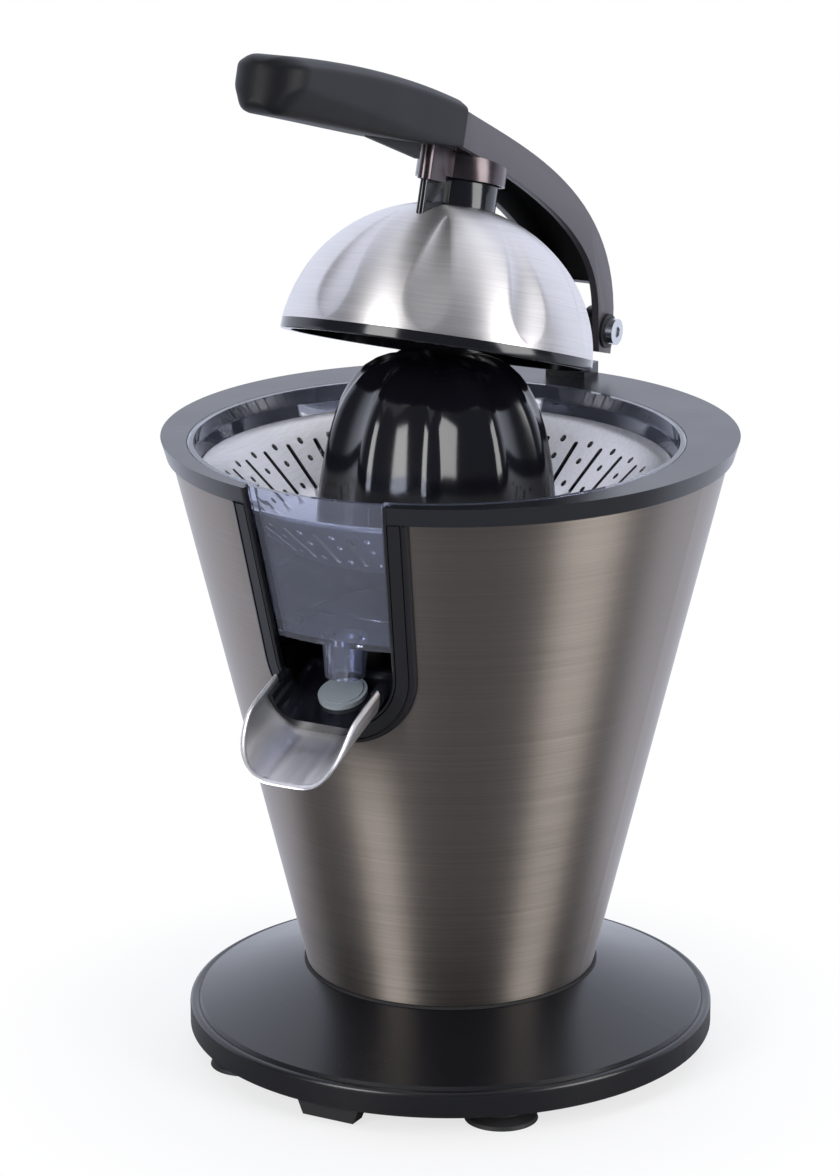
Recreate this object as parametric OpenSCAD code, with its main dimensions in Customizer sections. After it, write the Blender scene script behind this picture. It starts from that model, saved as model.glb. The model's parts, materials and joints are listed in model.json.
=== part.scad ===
// Electric lever citrus press, in millimetres, +Z up, front towards -Y.
// The origin is the centre of the whole press's outline, on the worktop.

/* [Base] */
// Radius of the round base cover
base_r = 102.5; // [98:0.5:105]
// Height of the base cover's lower edge above the worktop
base_lift = 8; // [7:0.5:9.5]
// Height of the base cover's straight side
base_side = 10; // [9:0.5:12]
// Wall of the base cover
base_wall = 2.5; // [2:0.1:3]
// Radius of a suction foot
foot_r = 14; // [11:0.5:16]
// Distance of the feet from the middle, left and right
foot_x = 55.7; // [48:0.5:62]
// Distance of the feet from the middle, front and back
foot_y = 64; // [56:0.5:68]

/* [Body shell] */
// Height of the steel body's lower edge
shell_low_z = 33; // [31:0.5:35]
// Height of the steel body's upper edge
shell_high_z = 238.6; // [234:0.2:242]
// Outer radius of the steel body at its lower edge
shell_low_r = 56.1; // [54:0.1:59]
// Outer radius of the steel body at its upper edge
shell_high_r = 106; // [105.4:0.1:107]
// Thickness of the steel sheet
shell_wall = 1.2; // [0.8:0.1:1.4]

/* [Front window] */
// Radius of the round lower end of the spout recess
window_r = 23.95; // [23.5:0.05:24.5]
// Height of the centre of that round end
window_z = 178.95; // [178:0.05:180]
// Lean of the window's sides, outwards and up
window_lean = 3.98; // [3.6:0.02:4.3]
// Width of the black frame round the window
frame_w = 8; // [7:0.25:9]
// Width of the frame's thin inner lip, which runs up through the rim
frame_lip = 1.3; // [1:0.1:2.5]
// How far the frame stands out of the steel body
frame_proud = 2.5; // [2:0.1:2.8]
// Distance from the start of the spout to the back of the recess
bay_depth = 37.4; // [34.5:0.1:39.5]

/* [Rim] */
// Thickness of the rim ring
rim_h = 7.1; // [6:0.1:8]
// How far the rim's lower edge stands out over the steel body
rim_overhang = 1.9; // [1.4:0.1:2.4]
// How much wider the rim's radius is at its top than at its lower edge
rim_flare = 2.1; // [1.5:0.1:3.1]
// Distance from the steel body's upper edge in to the rim's opening
rim_band = 11.6; // [11:0.1:12]
// How far the squeezing axis lies in front of the body's axis
squeeze_front = 11; // [10.4:0.1:11.4]

/* [Bowl and sieve] */
// Wall of the clear bowl
bowl_wall = 2.2; // [1.8:0.1:2.6]
// Room in front of the bowl's floor, up to the outside of the steel body
bowl_margin = 4.7; // [4.2:0.1:6.2]
// Outer radius of the nozzle under the chute
nozzle_r = 8; // [7:0.25:8.5]
// Distance from the start of the spout back to the nozzle's axis
nozzle_behind = 13.9; // [13.4:0.1:14.4]
// Height of the nozzle's lower end
nozzle_low_z = 172; // [171.8:0.1:173]
// Height of the sieve's edge above its floor
sieve_depth = 24.5; // [22:0.5:26]
// Radius of the sieve's flat floor
sieve_floor_r = 61; // [58:0.5:63]
// Height of the sieve's floor
sieve_floor_z = 211; // [210:0.5:212]
// Number of slots in the sieve
sieve_slots = 36; // [24:2:40]
// Width of a slot
slot_w = 2; // [1.4:0.1:2.4]

/* [Cone] */
// Radius of the cone at its foot
cone_r = 47.5; // [45:0.5:49]
// Height of the top of the cone above the worktop
cone_top_z = 278.5; // [275:0.5:281]
// Number of ribs on the cone
cone_ribs = 10; // [6:1:12]
// Depth of the flutes between the ribs
flute_depth = 3.4; // [2:0.2:4]
// Radius of the drive shaft
shaft_r = 4; // [3.6:0.1:4.3]
// How far the cone goes down when fruit is pressed on it
press_travel = 2.5; // [1.5:0.1:2.6]

/* [Lever] */
// Distance from the rim's outer edge in to the lever's pivot
pivot_inset = 2.6; // [1.6:0.1:3]
// Height of the lever's pivot above the rim's top
pivot_rise = 18.1; // [17.6:0.1:19.5]
// Angle of the lever above its closed position
arm_lift = 17.6; // [15:0.2:25]
// Width of the arm
arm_w = 26; // [25:0.25:28]
// Thickness of the arm's walls
arm_wall = 3; // [2.5:0.1:3.2]
// Distance from the dome's axis forwards to the seam between arm and grip
arm_front = 27.6; // [25.6:0.5:31.6]
// Length of the grip
grip_len = 134; // [119:1:144]
// Width of the grip
grip_w = 27.6; // [26:0.2:30]
// Radius of the pivot bolt
pivot_r = 3; // [2.6:0.1:3.3]

/* [Dome] */
// Outer radius of the dome at its lip
dome_r = 59; // [55:0.5:60]
// Height of the dome
dome_h = 55.5; // [54:0.5:57]
// Height of the dome's lip above the worktop when closed
dome_lip_z = 243.2; // [242.4:0.1:245]
// Thickness of the steel dome
dome_wall = 1.2; // [0.8:0.1:1.5]
// Radius of the black stem above the dome
stem_r = 14.7; // [14.2:0.1:15.2]
// How far the dome can give way upwards
dome_travel = 4; // [3:0.25:4.5]

/* [Spout] */
// Half of the spout's width
spout_half = 21.7; // [20.5:0.1:22.2]
// Depth of the spout's trough
spout_depth = 16; // [14:0.5:17]
// How far in front of the steel body the spout starts
spout_proud = 6.59; // [6.3:0.01:6.9]
// Length of the steel spout along its top
spout_len = 21; // [18:0.5:24]
// Slope of the spout when it pours
spout_tilt = 21; // [20:0.25:22]
// Radius of the soft valve disc
disc_r = 9.3; // [9:0.1:10]

/* [Hidden] */
$fn = 64;

// Clearances and small common sizes
run_gap = 0.05;
fit_gap = 0.3;
loose_gap = 0.5;
touch_gap = 0.02;
edge_r = 1.8;
plastic_wall = 2;
past = 1;

// Places worked out from the sizes above
rim_top_z = shell_high_z + rim_h;
rim_low_r = shell_high_r + rim_overhang;
rim_high_r = rim_low_r + rim_flare;
rim_open_r = shell_high_r - rim_band;
pivot_back = rim_high_r - pivot_inset;
pivot_z = rim_top_z + pivot_rise;
bowl_rim_r = rim_open_r - fit_gap;
deck_low_z = window_z + 1.05;
deck_h = 3;
plate_z = deck_low_z - 47;
plate_h = 2;
cone_base_z = sieve_floor_z + press_travel + fit_gap + 0.2;
lip_v = dome_lip_z - pivot_z;
dome_u = pivot_back + squeeze_front;
arm_reach = dome_u + arm_front;
grip_reach = arm_reach + grip_len;
slope = (shell_high_r - shell_low_r) / (shell_high_z - shell_low_z);
grip_end_low = 45.8;
grip_end_v = 56;
arm_back = 7.4;
reach_front = grip_reach * cos(arm_lift) - (grip_end_low + 4) * sin(arm_lift) - pivot_back;
reach_back = pivot_back + arm_back;
body_y = (reach_front - reach_back) / 2;

// Outer radius of the steel body's cone at height z
function shell_r(z) = shell_low_r + (z - shell_low_z) * slope;

// Start of the spout, and what lies behind it
spout_z = window_z - 7.05;
spout_y = shell_r(spout_z) + spout_proud;
nozzle_front = spout_y - nozzle_behind;
bay_back = spout_y - bay_depth;

// Outer radius of the clear bowl at height z
bowl_low_z = deck_low_z + deck_h + 7;
bowl_low_r = shell_r(bowl_low_z) - squeeze_front - bowl_margin;
bowl_neck_z = shell_high_z + 1.4;
function bowl_r(z) =
    bowl_low_r + (z - bowl_low_z) * (bowl_rim_r - loose_gap - bowl_low_r) / (bowl_neck_z - bowl_low_z);

// Inner radius of the clear bowl at height z
function bowl_in_r(z) = bowl_low_r - bowl_wall + (z - bowl_low_z - bowl_wall)
    * (bowl_rim_r - loose_gap - bowl_low_r) / (bowl_neck_z - bowl_low_z - bowl_wall);

// A point of a cubic curve with control points a, b, c and d
function curve_point(a, b, c, d, t) =
    pow(1 - t, 3) * a + 3 * pow(1 - t, 2) * t * b + 3 * (1 - t) * t * t * c + pow(t, 3) * d;
function curve(a, b, c, d, steps) = [for (i = [0:steps]) curve_point(a, b, c, d, i / steps)];
function reversed(list) = [for (i = [len(list) - 1:-1:0]) list[i]];

// Side outlines of the closed lever: first number forwards from the pivot, second number up from it
grip_low_v = 53.6;
arm_top = curve([-7, -8.5], [-7, 55], [dome_u - 27.3, 59.9], [arm_reach, 67.1], 28);
arm_under = curve([3.8, -8.8], [14.8, 14.7], [1.4, 38.2], [arm_reach, 53.9], 28);
grip_top = curve([arm_reach, 71.3], [arm_reach + 44, 74], [grip_reach - 45, 71.5], [grip_reach, 66.2], 16);
grip_under = curve([arm_reach, grip_low_v], [arm_reach + 30, 49.5], [grip_reach - 45, 48.5],
    [grip_reach, grip_end_low], 16);

// Moves a curve towards its right-hand side by a distance
function curve_normal(list, i) =
    let (step = list[min(i + 1, len(list) - 1)] - list[max(i - 1, 0)]) [step[1], -step[0]] / norm(step);
function moved_curve(list, away) = [for (i = [0:len(list) - 1]) list[i] + away * curve_normal(list, i)];

// The whole press stands forward of its body's axis by body_y
module placed() {
    translate([0, body_y, 0]) children();
}

// Frame of the squeezing axis
module on_squeeze_axis() {
    placed() translate([0, -squeeze_front, 0]) children();
}

// Frame of the lever: -Y forwards and +Z up from the pivot, in its closed position
module on_lever() {
    placed() translate([0, pivot_back, pivot_z]) rotate([-arm_lift, 0, 0]) children();
}

// Frame of the dome: origin in the middle of its lip, +Z along its axis
module on_dome() {
    on_lever() translate([0, -dome_u, lip_v]) children();
}

// Extrudes a side outline sideways over a width
module side_extrude(width) {
    rotate([90, 0, -90]) linear_extrude(width, center = true) children();
}

// Extrudes an outline seen from the front, from one distance in front of the axis to another
module front_extrude(near, far) {
    translate([0, -near, 0]) rotate([90, 0, 0]) linear_extrude(far - near) children();
}

// Window outline, made wider by an amount all round
module window_shape(extra) {
    r = window_r + extra;
    top_z = rim_top_z + past;
    half_top = r / cos(window_lean) + (top_z - window_z) * tan(window_lean);
    translate([0, window_z]) circle(r = r);
    polygon([
        [-r * cos(window_lean), window_z - r * sin(window_lean)],
        [r * cos(window_lean), window_z - r * sin(window_lean)],
        [half_top, top_z],
        [-half_top, top_z]
    ]);
}

module window_prism(extra, near) {
    front_extrude(near, rim_high_r + 12) window_shape(extra);
}

// Cone that follows the steel body, made wider by an amount, between two heights
module body_cone(extra, low_z, high_z) {
    translate([0, 0, low_z])
        cylinder(h = high_z - low_z, r1 = shell_r(low_z) + extra, r2 = shell_r(high_z) + extra);
}

// Ring with a rectangular section
module ring(inner_r, outer_r, low_z, high_z) {
    difference() {
        translate([0, 0, low_z]) cylinder(h = high_z - low_z, r = outer_r);
        translate([0, 0, low_z - past]) cylinder(h = high_z - low_z + 2 * past, r = inner_r);
    }
}

// Copies at a radius, at each of a list of angles
module at_angles(angles, radius) {
    for (a = angles) rotate([0, 0, a]) translate([radius, 0, 0]) children();
}

// Screw with its head below: head, shank and a hexagon recess
module screw(shank_r, head_r, head_h, length) {
    difference() {
        union() {
            cylinder(h = head_h, r = head_r);
            cylinder(h = head_h + length, r = shank_r);
        }
        translate([0, 0, -past]) cylinder(h = head_h * 0.6 + past, r = head_r * 0.5, $fn = 6);
    }
}

// Coil spring along Z
module coil_spring(mean_r, wire_r, height, turns) {
    sides = 6;
    per_turn = 14;
    rings = per_turn * turns;
    rise = height - 2 * wire_r;
    points = [for (i = [0:rings]) for (k = [0:sides - 1])
        let (a = i * 360 / per_turn, b = k * 360 / sides, r = mean_r + wire_r * cos(b))
        [r * cos(a), r * sin(a), wire_r + rise * i / rings + wire_r * sin(b)]];
    around = [for (i = [0:rings - 1]) for (k = [0:sides - 1])
        let (n = (k + 1) % sides) [i * sides + k, i * sides + n, (i + 1) * sides + n, (i + 1) * sides + k]];
    first = [for (k = [sides - 1:-1:0]) k];
    last = [for (k = [0:sides - 1]) rings * sides + k];
    polyhedron(points, [for (f = concat(around, [first, last])) reversed(f)], convexity = 10);
}

// Base ---------------------------------------------------------------------------------------------

base_top_z = base_lift + base_side;
collar_r = shell_low_r + 1.5;
plate_r = base_r - base_wall - 1.5;
base_plate_h = 2;
base_screw_angles = [0:60:300];
gland_z = base_lift + 5;
gland_r = 3.9;

module base_cover() {
    run = base_r - edge_r - collar_r;
    rise = shell_low_z - base_top_z;
    color("#1b1b1d") placed() {
        difference() {
            rotate_extrude() polygon(concat(
                [[base_r - base_wall, base_lift], [base_r, base_lift]],
                [for (a = [0:15:75])
                    [base_r - edge_r + edge_r * cos(a), base_top_z - edge_r + edge_r * sin(a)]],
                [[base_r - edge_r, base_top_z], [base_r - edge_r - 1.5, base_top_z - 0.4],
                    [base_r - edge_r - 2.5, base_top_z + 2.5 * rise / run], [collar_r, shell_low_z],
                    [collar_r - 5, shell_low_z], [collar_r - 5, shell_low_z - base_wall],
                    [base_r - base_wall - 3, base_top_z - base_wall]]
            ));
            translate([0, base_r - 10, gland_z]) rotate([-90, 0, 0]) cylinder(h = 20, r = gland_r + touch_gap);
        }
        ring(collar_r - 8, collar_r - 5 + touch_gap, shell_low_z - base_wall, shell_low_z + 9);
        ring(collar_r - 8, collar_r - 4, shell_low_z - base_wall, shell_low_z);
        at_angles(base_screw_angles, plate_r - 7)
            ring(1.4, 4, base_lift + base_plate_h + 0.4, base_top_z + 1.2);
    }
}

module base_plate() {
    color("#222224") placed() difference() {
        translate([0, 0, base_lift + 0.3]) cylinder(h = base_plate_h, r = plate_r);
        for (x = [-foot_x, foot_x], y = [-foot_y, foot_y])
            translate([x, y, base_lift - past]) cylinder(h = base_plate_h + 2 * past, r = 3.5);
        translate([-gland_r - 1, base_r - 9, base_lift - past]) cube([2 * gland_r + 2, 20, 10]);
        at_angles(base_screw_angles, plate_r - 7)
            translate([0, 0, base_lift - past]) cylinder(h = base_plate_h + 2 * past, r = 1.7);
    }
}

module suction_feet() {
    neck_z = base_lift + 0.3;
    color("#151515") placed() for (x = [-foot_x, foot_x], y = [-foot_y, foot_y])
        translate([x, y, 0]) rotate_extrude() polygon([
            [foot_r - 3, 0], [foot_r, 0], [foot_r - 0.5, 1.5], [foot_r - 4, 4], [foot_r - 5, neck_z - 0.02],
            [3.45, neck_z - 0.02], [3.45, neck_z + base_plate_h + 0.1], [5, neck_z + base_plate_h + 0.1],
            [4, neck_z + base_plate_h + 2.5], [0, neck_z + base_plate_h + 2.5], [0, 3], [foot_r - 6, 2]
        ]);
}

module front_pad() {
    top_half = 13.75;
    low_half = 10.8;
    color("#161616") placed() front_extrude(base_r - 11, base_r - 4) polygon([
        [-low_half, 1], [low_half, 1], [top_half, base_lift + 0.28], [-top_half, base_lift + 0.28]
    ]);
}

module base_screws() {
    color("#8b8d90") placed() at_angles(base_screw_angles, plate_r - 7)
        translate([0, 0, base_lift - 1.7]) screw(1.35, 3.2, 1.95, base_side - base_wall - 1);
}

module cord_gland() {
    color("#121212") placed() translate([0, base_r - 8, gland_z]) rotate([-90, 0, 0]) difference() {
        union() {
            cylinder(h = 9.2, r = gland_r);
            translate([0, 0, 8.1]) cylinder(h = 1.4, r = gland_r + 0.6);
        }
        translate([0, 0, -past]) cylinder(h = 12, r = 3.1);
    }
}

module foot_gasket() {
    color("#0d0d0d") placed()
        ring(shell_low_r - shell_wall - 1.2, collar_r - 0.2, shell_low_z + touch_gap, shell_low_z + 1);
}

// Steel body and what stands in it -----------------------------------------------------------------

window_cut = frame_w - 3;
frame_depth = 1.5;

module body_shell() {
    low_z = shell_low_z + 1.05;
    color("#8a8177") placed() difference() {
        body_cone(0, low_z, shell_high_z);
        body_cone(-shell_wall, low_z - past, shell_high_z + past);
        window_prism(window_cut, 40);
    }
}

carrier_gap = shell_wall + 0.4;
rim_screw_angles = [20, 55, 125, 160];
rim_screw_r = shell_high_r - 10;
post_screw_x = 4;
post_screw_y = pivot_back - 8.7;
pillar_places = [[44, -25], [44, 42], [-22, 47], [-40, -24]];
idler_angle = 36.87;
output_teeth = 44;
idler_small_teeth = 12;
idler_large_teeth = 50;
pinion_teeth = 10;
coarse_module = 1.25;
fine_module = 1;
idler_far = coarse_module * (output_teeth + idler_small_teeth) / 2;
motor_far = fine_module * (idler_large_teeth + pinion_teeth) / 2;
idler_at = [idler_far * cos(idler_angle), idler_far * sin(idler_angle) - squeeze_front];
motor_angle = 180 - idler_angle;
motor_at = idler_at + motor_far * [cos(motor_angle), sin(motor_angle)];
idler_pin_r = 3;
hub_r = 7;
bush_r = 9;

// Conical wall inside the steel that carries the rim and stands on the deck
module bowl_jacket() {
    wall_in = carrier_gap + plastic_wall;
    color("#141517") placed() difference() {
        union() {
            difference() {
                body_cone(-carrier_gap, deck_low_z + deck_h + touch_gap, shell_high_z - touch_gap);
                body_cone(-wall_in, deck_low_z + deck_h, shell_high_z + past);
            }
            intersection() {
                body_cone(-carrier_gap - 0.1, shell_high_z - 3, shell_high_z - touch_gap);
                translate([-20, pivot_back - 16, shell_high_z - 3]) cube([40, 20, 3]);
            }
            at_angles(rim_screw_angles, rim_screw_r)
                translate([0, 0, shell_high_z - 11]) cylinder(h = 11 - touch_gap, r = 3.6);
        }
        window_prism(plastic_wall + 0.5, 66);
        window_prism(window_cut + 0.1, 50);
        bowl_well();
        at_angles(rim_screw_angles, rim_screw_r)
            translate([0, 0, shell_high_z - 12]) cylinder(h = 13, r = 1.6);
        for (x = [-post_screw_x, post_screw_x])
            translate([x, post_screw_y, shell_high_z - 4]) cylinder(h = 5, r = 1.5);
    }
}

// Room for the clear bowl
module bowl_well() {
    translate([0, -squeeze_front, bowl_low_z]) cylinder(h = bowl_neck_z - bowl_low_z,
        r1 = bowl_low_r + loose_gap, r2 = bowl_r(bowl_neck_z) + loose_gap);
}

// Deck that closes the motor room, with the shaft's collar and the pillars under it
module bowl_carrier() {
    wall_in = carrier_gap + plastic_wall;
    color("#17181a") placed() {
        difference() {
            body_cone(-carrier_gap, deck_low_z, deck_low_z + deck_h);
            window_prism(plastic_wall + 0.5, 66);
            difference() {
                window_prism(window_cut + 0.1, 50);
                body_cone(-wall_in - 0.1, deck_low_z - past, rim_top_z);
            }
            bowl_well();
            translate([0, -squeeze_front, deck_low_z - past]) cylinder(h = deck_h + 2 * past, r = bush_r);
            for (p = pillar_places)
                translate([p[0], p[1], deck_low_z - past]) cylinder(h = deck_h + 0.5, r = 1.5);
            translate([idler_at[0], idler_at[1], deck_low_z - past])
                cylinder(h = 2.5 + past, r = idler_pin_r + touch_gap);
        }
        translate([0, -squeeze_front, 0]) ring(bush_r + touch_gap, bush_r + 3, deck_low_z - 8, deck_low_z + deck_h);
        for (p = pillar_places) translate([p[0], p[1], 0])
            ring(1.5, 4, plate_z + plate_h + touch_gap, deck_low_z + 0.5);
    }
}

module spout_bay() {
    color("#141416") placed() difference() {
        intersection() {
            front_extrude(bay_back - plastic_wall, rim_high_r) window_shape(plastic_wall);
            body_cone(-2.2 - touch_gap, window_z - window_r - 10, deck_low_z - touch_gap);
        }
        front_extrude(bay_back, rim_high_r + past) window_shape(0);
        translate([0, -spout_pin_y, spout_pin_z]) cylinder_x(3 * window_r, spout_pin_r + touch_gap);
    }
}

// Band round the window: from one width to another, standing out of the body between two amounts
module frame_band(inner, outer, low, high) {
    low_z = window_z - window_r - frame_w - 4;
    intersection() {
        difference() {
            window_prism(outer, 50);
            window_prism(inner, 48);
        }
        difference() {
            body_cone(high, low_z, rim_top_z);
            body_cone(low, low_z - past, rim_top_z + past);
        }
    }
}

module chute_frame() {
    color("#1c1d20") placed() difference() {
        union() {
            frame_band(0, frame_w, touch_gap, frame_proud);
            frame_band(0, window_cut - 0.1, -frame_depth, frame_proud / 2);
        }
        difference() {
            translate([-2 * window_r, -rim_high_r - past, shell_high_z - touch_gap])
                cube([4 * window_r, rim_high_r, rim_h + 2 * past]);
            window_prism(frame_lip, past);
        }
    }
}

module rim_ring() {
    color("#26282c") placed() difference() {
        translate([0, 0, shell_high_z + touch_gap])
            cylinder(h = rim_h - touch_gap, r1 = rim_low_r, r2 = rim_high_r);
        translate([0, -squeeze_front, shell_high_z - past]) cylinder(h = rim_h + 2 * past, r = rim_open_r);
        window_prism(frame_lip + 0.1, 60);
        at_angles(rim_screw_angles, rim_screw_r)
            translate([0, 0, shell_high_z - past]) cylinder(h = 5.2 + past, r = 1.3);
        for (x = [-post_screw_x, post_screw_x])
            translate([x, post_screw_y, shell_high_z - past]) cylinder(h = rim_h + 2 * past, r = 1.5);
    }
}

module rim_screws() {
    color("#8b8d90") placed() at_angles(rim_screw_angles, rim_screw_r)
        translate([0, 0, shell_high_z - 13.2]) screw(1.25, 2.8, 2.1, 16);
}

// Hinge --------------------------------------------------------------------------------------------

post_foot_half = 8.6;
post_half = 5.5;
post_foot_front = pivot_back - 10.4;
post_foot_back = rim_high_r - 0.4;
post_foot_h = 4.8;
tongue_r = 8;
bush_wall = 1.5;

module hinge_post() {
    color("#2b2c30") placed() difference() {
        union() {
            translate([-post_foot_half, post_foot_front, rim_top_z + touch_gap])
                cube([2 * post_foot_half, post_foot_back - post_foot_front, post_foot_h]);
            rotate([90, 0, 90]) linear_extrude(2 * post_half, center = true) polygon([
                [post_foot_front, rim_top_z + 2], [post_foot_back, rim_top_z + 2],
                [post_foot_back, pivot_z - tongue_r], [pivot_back + tongue_r * 0.9, pivot_z - tongue_r * 0.436],
                [pivot_back, pivot_z], [pivot_back - tongue_r, pivot_z], [post_foot_front, pivot_z - tongue_r]
            ]);
            translate([0, pivot_back, pivot_z]) rotate([0, 90, 0])
                cylinder(h = 2 * post_half, r = tongue_r, center = true);
        }
        translate([0, pivot_back, pivot_z]) rotate([0, 90, 0])
            cylinder(h = 30, r = pivot_r + bush_wall + touch_gap, center = true);
        for (x = [-post_screw_x, post_screw_x])
            translate([x, post_screw_y, rim_top_z - past]) cylinder(h = 8.5, r = 1.3);
    }
}

module post_screws() {
    color("#8b8d90") placed() for (x = [-post_screw_x, post_screw_x])
        translate([x, post_screw_y, shell_high_z - 5.1]) screw(1.25, 2, 2, 16.5);
}

module pivot_bush() {
    color("#b08d57") placed() translate([0, pivot_back, pivot_z]) rotate([0, 90, 0])
        ring(pivot_r + run_gap, pivot_r + bush_wall, -post_half, post_half);
}

// Bowl, sieve and cone -----------------------------------------------------------------------------

chute_gap = 0.5;
chute_floor_z = deck_low_z + 6;
tube_r = 11;
tube_top_z = sieve_floor_z - 1.6;
seal_h = 4;

// The bowl's solid form, shrunk by an amount to give its hollow
module bowl_form(inset) {
    floor_z = bowl_low_z - 4 + inset;
    translate([0, -squeeze_front, 0]) rotate_extrude() polygon([
        [0, floor_z + 2], [bowl_low_r - 12 - inset, floor_z], [bowl_low_r - inset, bowl_low_z + inset],
        [bowl_rim_r - loose_gap - inset, bowl_neck_z], [bowl_rim_r - inset, bowl_neck_z],
        [bowl_rim_r - inset, rim_top_z + (inset > 0 ? past : 0)], [0, rim_top_z + (inset > 0 ? past : 0)]
    ]);
}

module chute_form(inset) {
    top = rim_top_z + (inset > 0 ? past : 0);
    intersection() {
        front_extrude(squeeze_front + 50, rim_high_r) window_shape(-chute_gap - inset);
        body_cone(-0.8 - inset, chute_floor_z + inset, top);
    }
}

module clear_bowl() {
    nozzle_in = nozzle_r - 1.8;
    color([0.75, 0.82, 0.9, 0.35]) placed() difference() {
        union() {
            difference() {
                union() {
                    bowl_form(0);
                    chute_form(0);
                    translate([0, -nozzle_front, nozzle_low_z])
                        cylinder(h = chute_floor_z - nozzle_low_z + 2, r1 = nozzle_r - 0.5, r2 = nozzle_r + 0.8);
                }
                bowl_form(bowl_wall);
                chute_form(bowl_wall);
                translate([0, -nozzle_front, nozzle_low_z - past])
                    cylinder(h = chute_floor_z - nozzle_low_z + bowl_wall + 2, r = nozzle_in);
            }
            translate([0, -squeeze_front, 0]) ring(tube_r - 2, tube_r, bowl_low_z - 3, tube_top_z);
        }
        translate([0, -squeeze_front, bowl_low_z - 10]) cylinder(h = tube_top_z - bowl_low_z + 12, r = tube_r - 2);
    }
}

sieve_wall = 1;
sieve_edge_z = sieve_floor_z + sieve_depth;
sieve_r = bowl_in_r(sieve_edge_z - sieve_wall) - 2 * run_gap;
sieve_bend_r = sieve_r - 7;
sieve_bend_z = sieve_edge_z - 4.5;
slot_angle = atan2(sieve_bend_z - sieve_floor_z, sieve_bend_r - sieve_floor_r);
slot_len = 22;

module sieve() {
    color("#b9bcc0") on_squeeze_axis() difference() {
        rotate_extrude() polygon([
            [tube_r + 0.6, sieve_floor_z - sieve_wall], [sieve_floor_r + 0.3, sieve_floor_z - sieve_wall],
            [sieve_bend_r + 0.6, sieve_bend_z - sieve_wall - 0.2], [sieve_r, sieve_edge_z - sieve_wall],
            [sieve_r, sieve_edge_z], [sieve_r - 1, sieve_edge_z], [sieve_bend_r, sieve_bend_z],
            [sieve_floor_r, sieve_floor_z], [tube_r + 0.6, sieve_floor_z]
        ]);
        for (i = [0:sieve_slots - 1]) rotate([0, 0, (i + 0.5) * 360 / sieve_slots])
            translate([(sieve_floor_r + sieve_bend_r) / 2 + 0.6, 0, (sieve_floor_z + sieve_bend_z) / 2])
                rotate([0, -slot_angle, 0]) {
                    cube([slot_len - slot_w, slot_w, 6], center = true);
                    for (end = [-1, 1]) translate([end * (slot_len - slot_w) / 2, 0, 0])
                        cylinder(h = 6, r = slot_w / 2, center = true);
                }
    }
}

cone_power = 3.4;
cone_root_z = cone_top_z - 113.8;
cone_rib_half = 3.3;
cone_phase = 7.4;
cone_wall = 3.4;

// Radius of the cone's rib line at a share of its full height
function cone_line(share) = cone_r * pow(1 - pow(share, cone_power), 1 / cone_power);
// Share of the flute's depth at an angle from the nearest rib
function flute_share(off) =
    let (w = max(0, (off - cone_rib_half) / (180 / cone_ribs - cone_rib_half))) 1 - pow(1 - w, 2);
// Share of the cone's height at ring i of n, closer together towards the top
function cone_share(i, n, base_share) = base_share + (1 - base_share) * sin(90 * i / n);

module cone_form() {
    rings = 14;
    per_rib = 12;
    around = cone_ribs * per_rib;
    height = cone_top_z - cone_root_z;
    base_share = (cone_base_z - cone_root_z) / height;
    points = [for (i = [0:rings - 1]) for (k = [0:around - 1])
        let (share = cone_share(i, rings, base_share), line = cone_line(share),
            off = abs(((k + per_rib / 2) % per_rib) - per_rib / 2) * 360 / around,
            depth = min(flute_depth, line * 0.12) * flute_share(off), a = k * 360 / around)
        [(line - depth) * cos(a), (line - depth) * sin(a), cone_root_z + share * height]];
    skirt = [for (i = [0:rings - 2]) for (k = [0:around - 1])
        let (n = (k + 1) % around) [i * around + k, (i + 1) * around + k, (i + 1) * around + n, i * around + n]];
    cap = [for (k = [0:around - 1])
        [(rings - 1) * around + k, len(points), (rings - 1) * around + (k + 1) % around]];
    floor = [[for (k = [0:around - 1]) k]];
    polyhedron(concat(points, [[0, 0, cone_top_z]]), concat(skirt, cap, floor), convexity = 6);
}

module reamer() {
    hollow_top = cone_top_z - cone_root_z - cone_wall - 1;
    base_share = (cone_base_z - cone_root_z) / (cone_top_z - cone_root_z);
    inner_r = cone_r - flute_depth - cone_wall;
    color("#101116") on_squeeze_axis() rotate([0, 0, cone_phase]) difference() {
        union() {
            difference() {
                cone_form();
                rotate_extrude() polygon(concat(
                    [[0, cone_base_z - past], [inner_r * 1.0, cone_base_z - past]],
                    [for (i = [0:9]) let (share = cone_share(i, 10, base_share))
                        [inner_r * pow(1 - pow(share, cone_power), 1 / cone_power),
                            cone_root_z + share * hollow_top]],
                    [[0, cone_root_z + hollow_top]]
                ));
            }
            ring(shaft_r + touch_gap, hub_r + 1.5, cone_base_z, cone_top_z - 3);
        }
        translate([0, 0, cone_base_z - past]) cylinder(h = shaft_top_z - cone_base_z + 1.3, r = shaft_r + touch_gap);
    }
}

// Drive --------------------------------------------------------------------------------------------

shaft_flat = 1;
shaft_low_z = plate_z - 6.9;
shaft_top_z = cone_top_z - 12;
hub_low_z = plate_z - 2;
hub_high_z = deck_low_z - 1;
flat_top_z = hub_high_z + press_travel + loose_gap;
output_low_z = plate_z + 16;
output_h = 8;
idler_large_low_z = plate_z + 6;
idler_large_h = 7;
pressure_angle = 25;
backlash = 0.12;

// Half of a tooth's angle at a radius, on an involute gear
function involute(angle) = tan(angle) * 180 / PI - angle;
function tooth_half(teeth, m, r) =
    let (pitch = m * teeth / 2, base = pitch * cos(pressure_angle))
    90 / teeth - backlash / 2 / pitch * 180 / PI + involute(pressure_angle) - involute(acos(min(1, base / r)));

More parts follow.
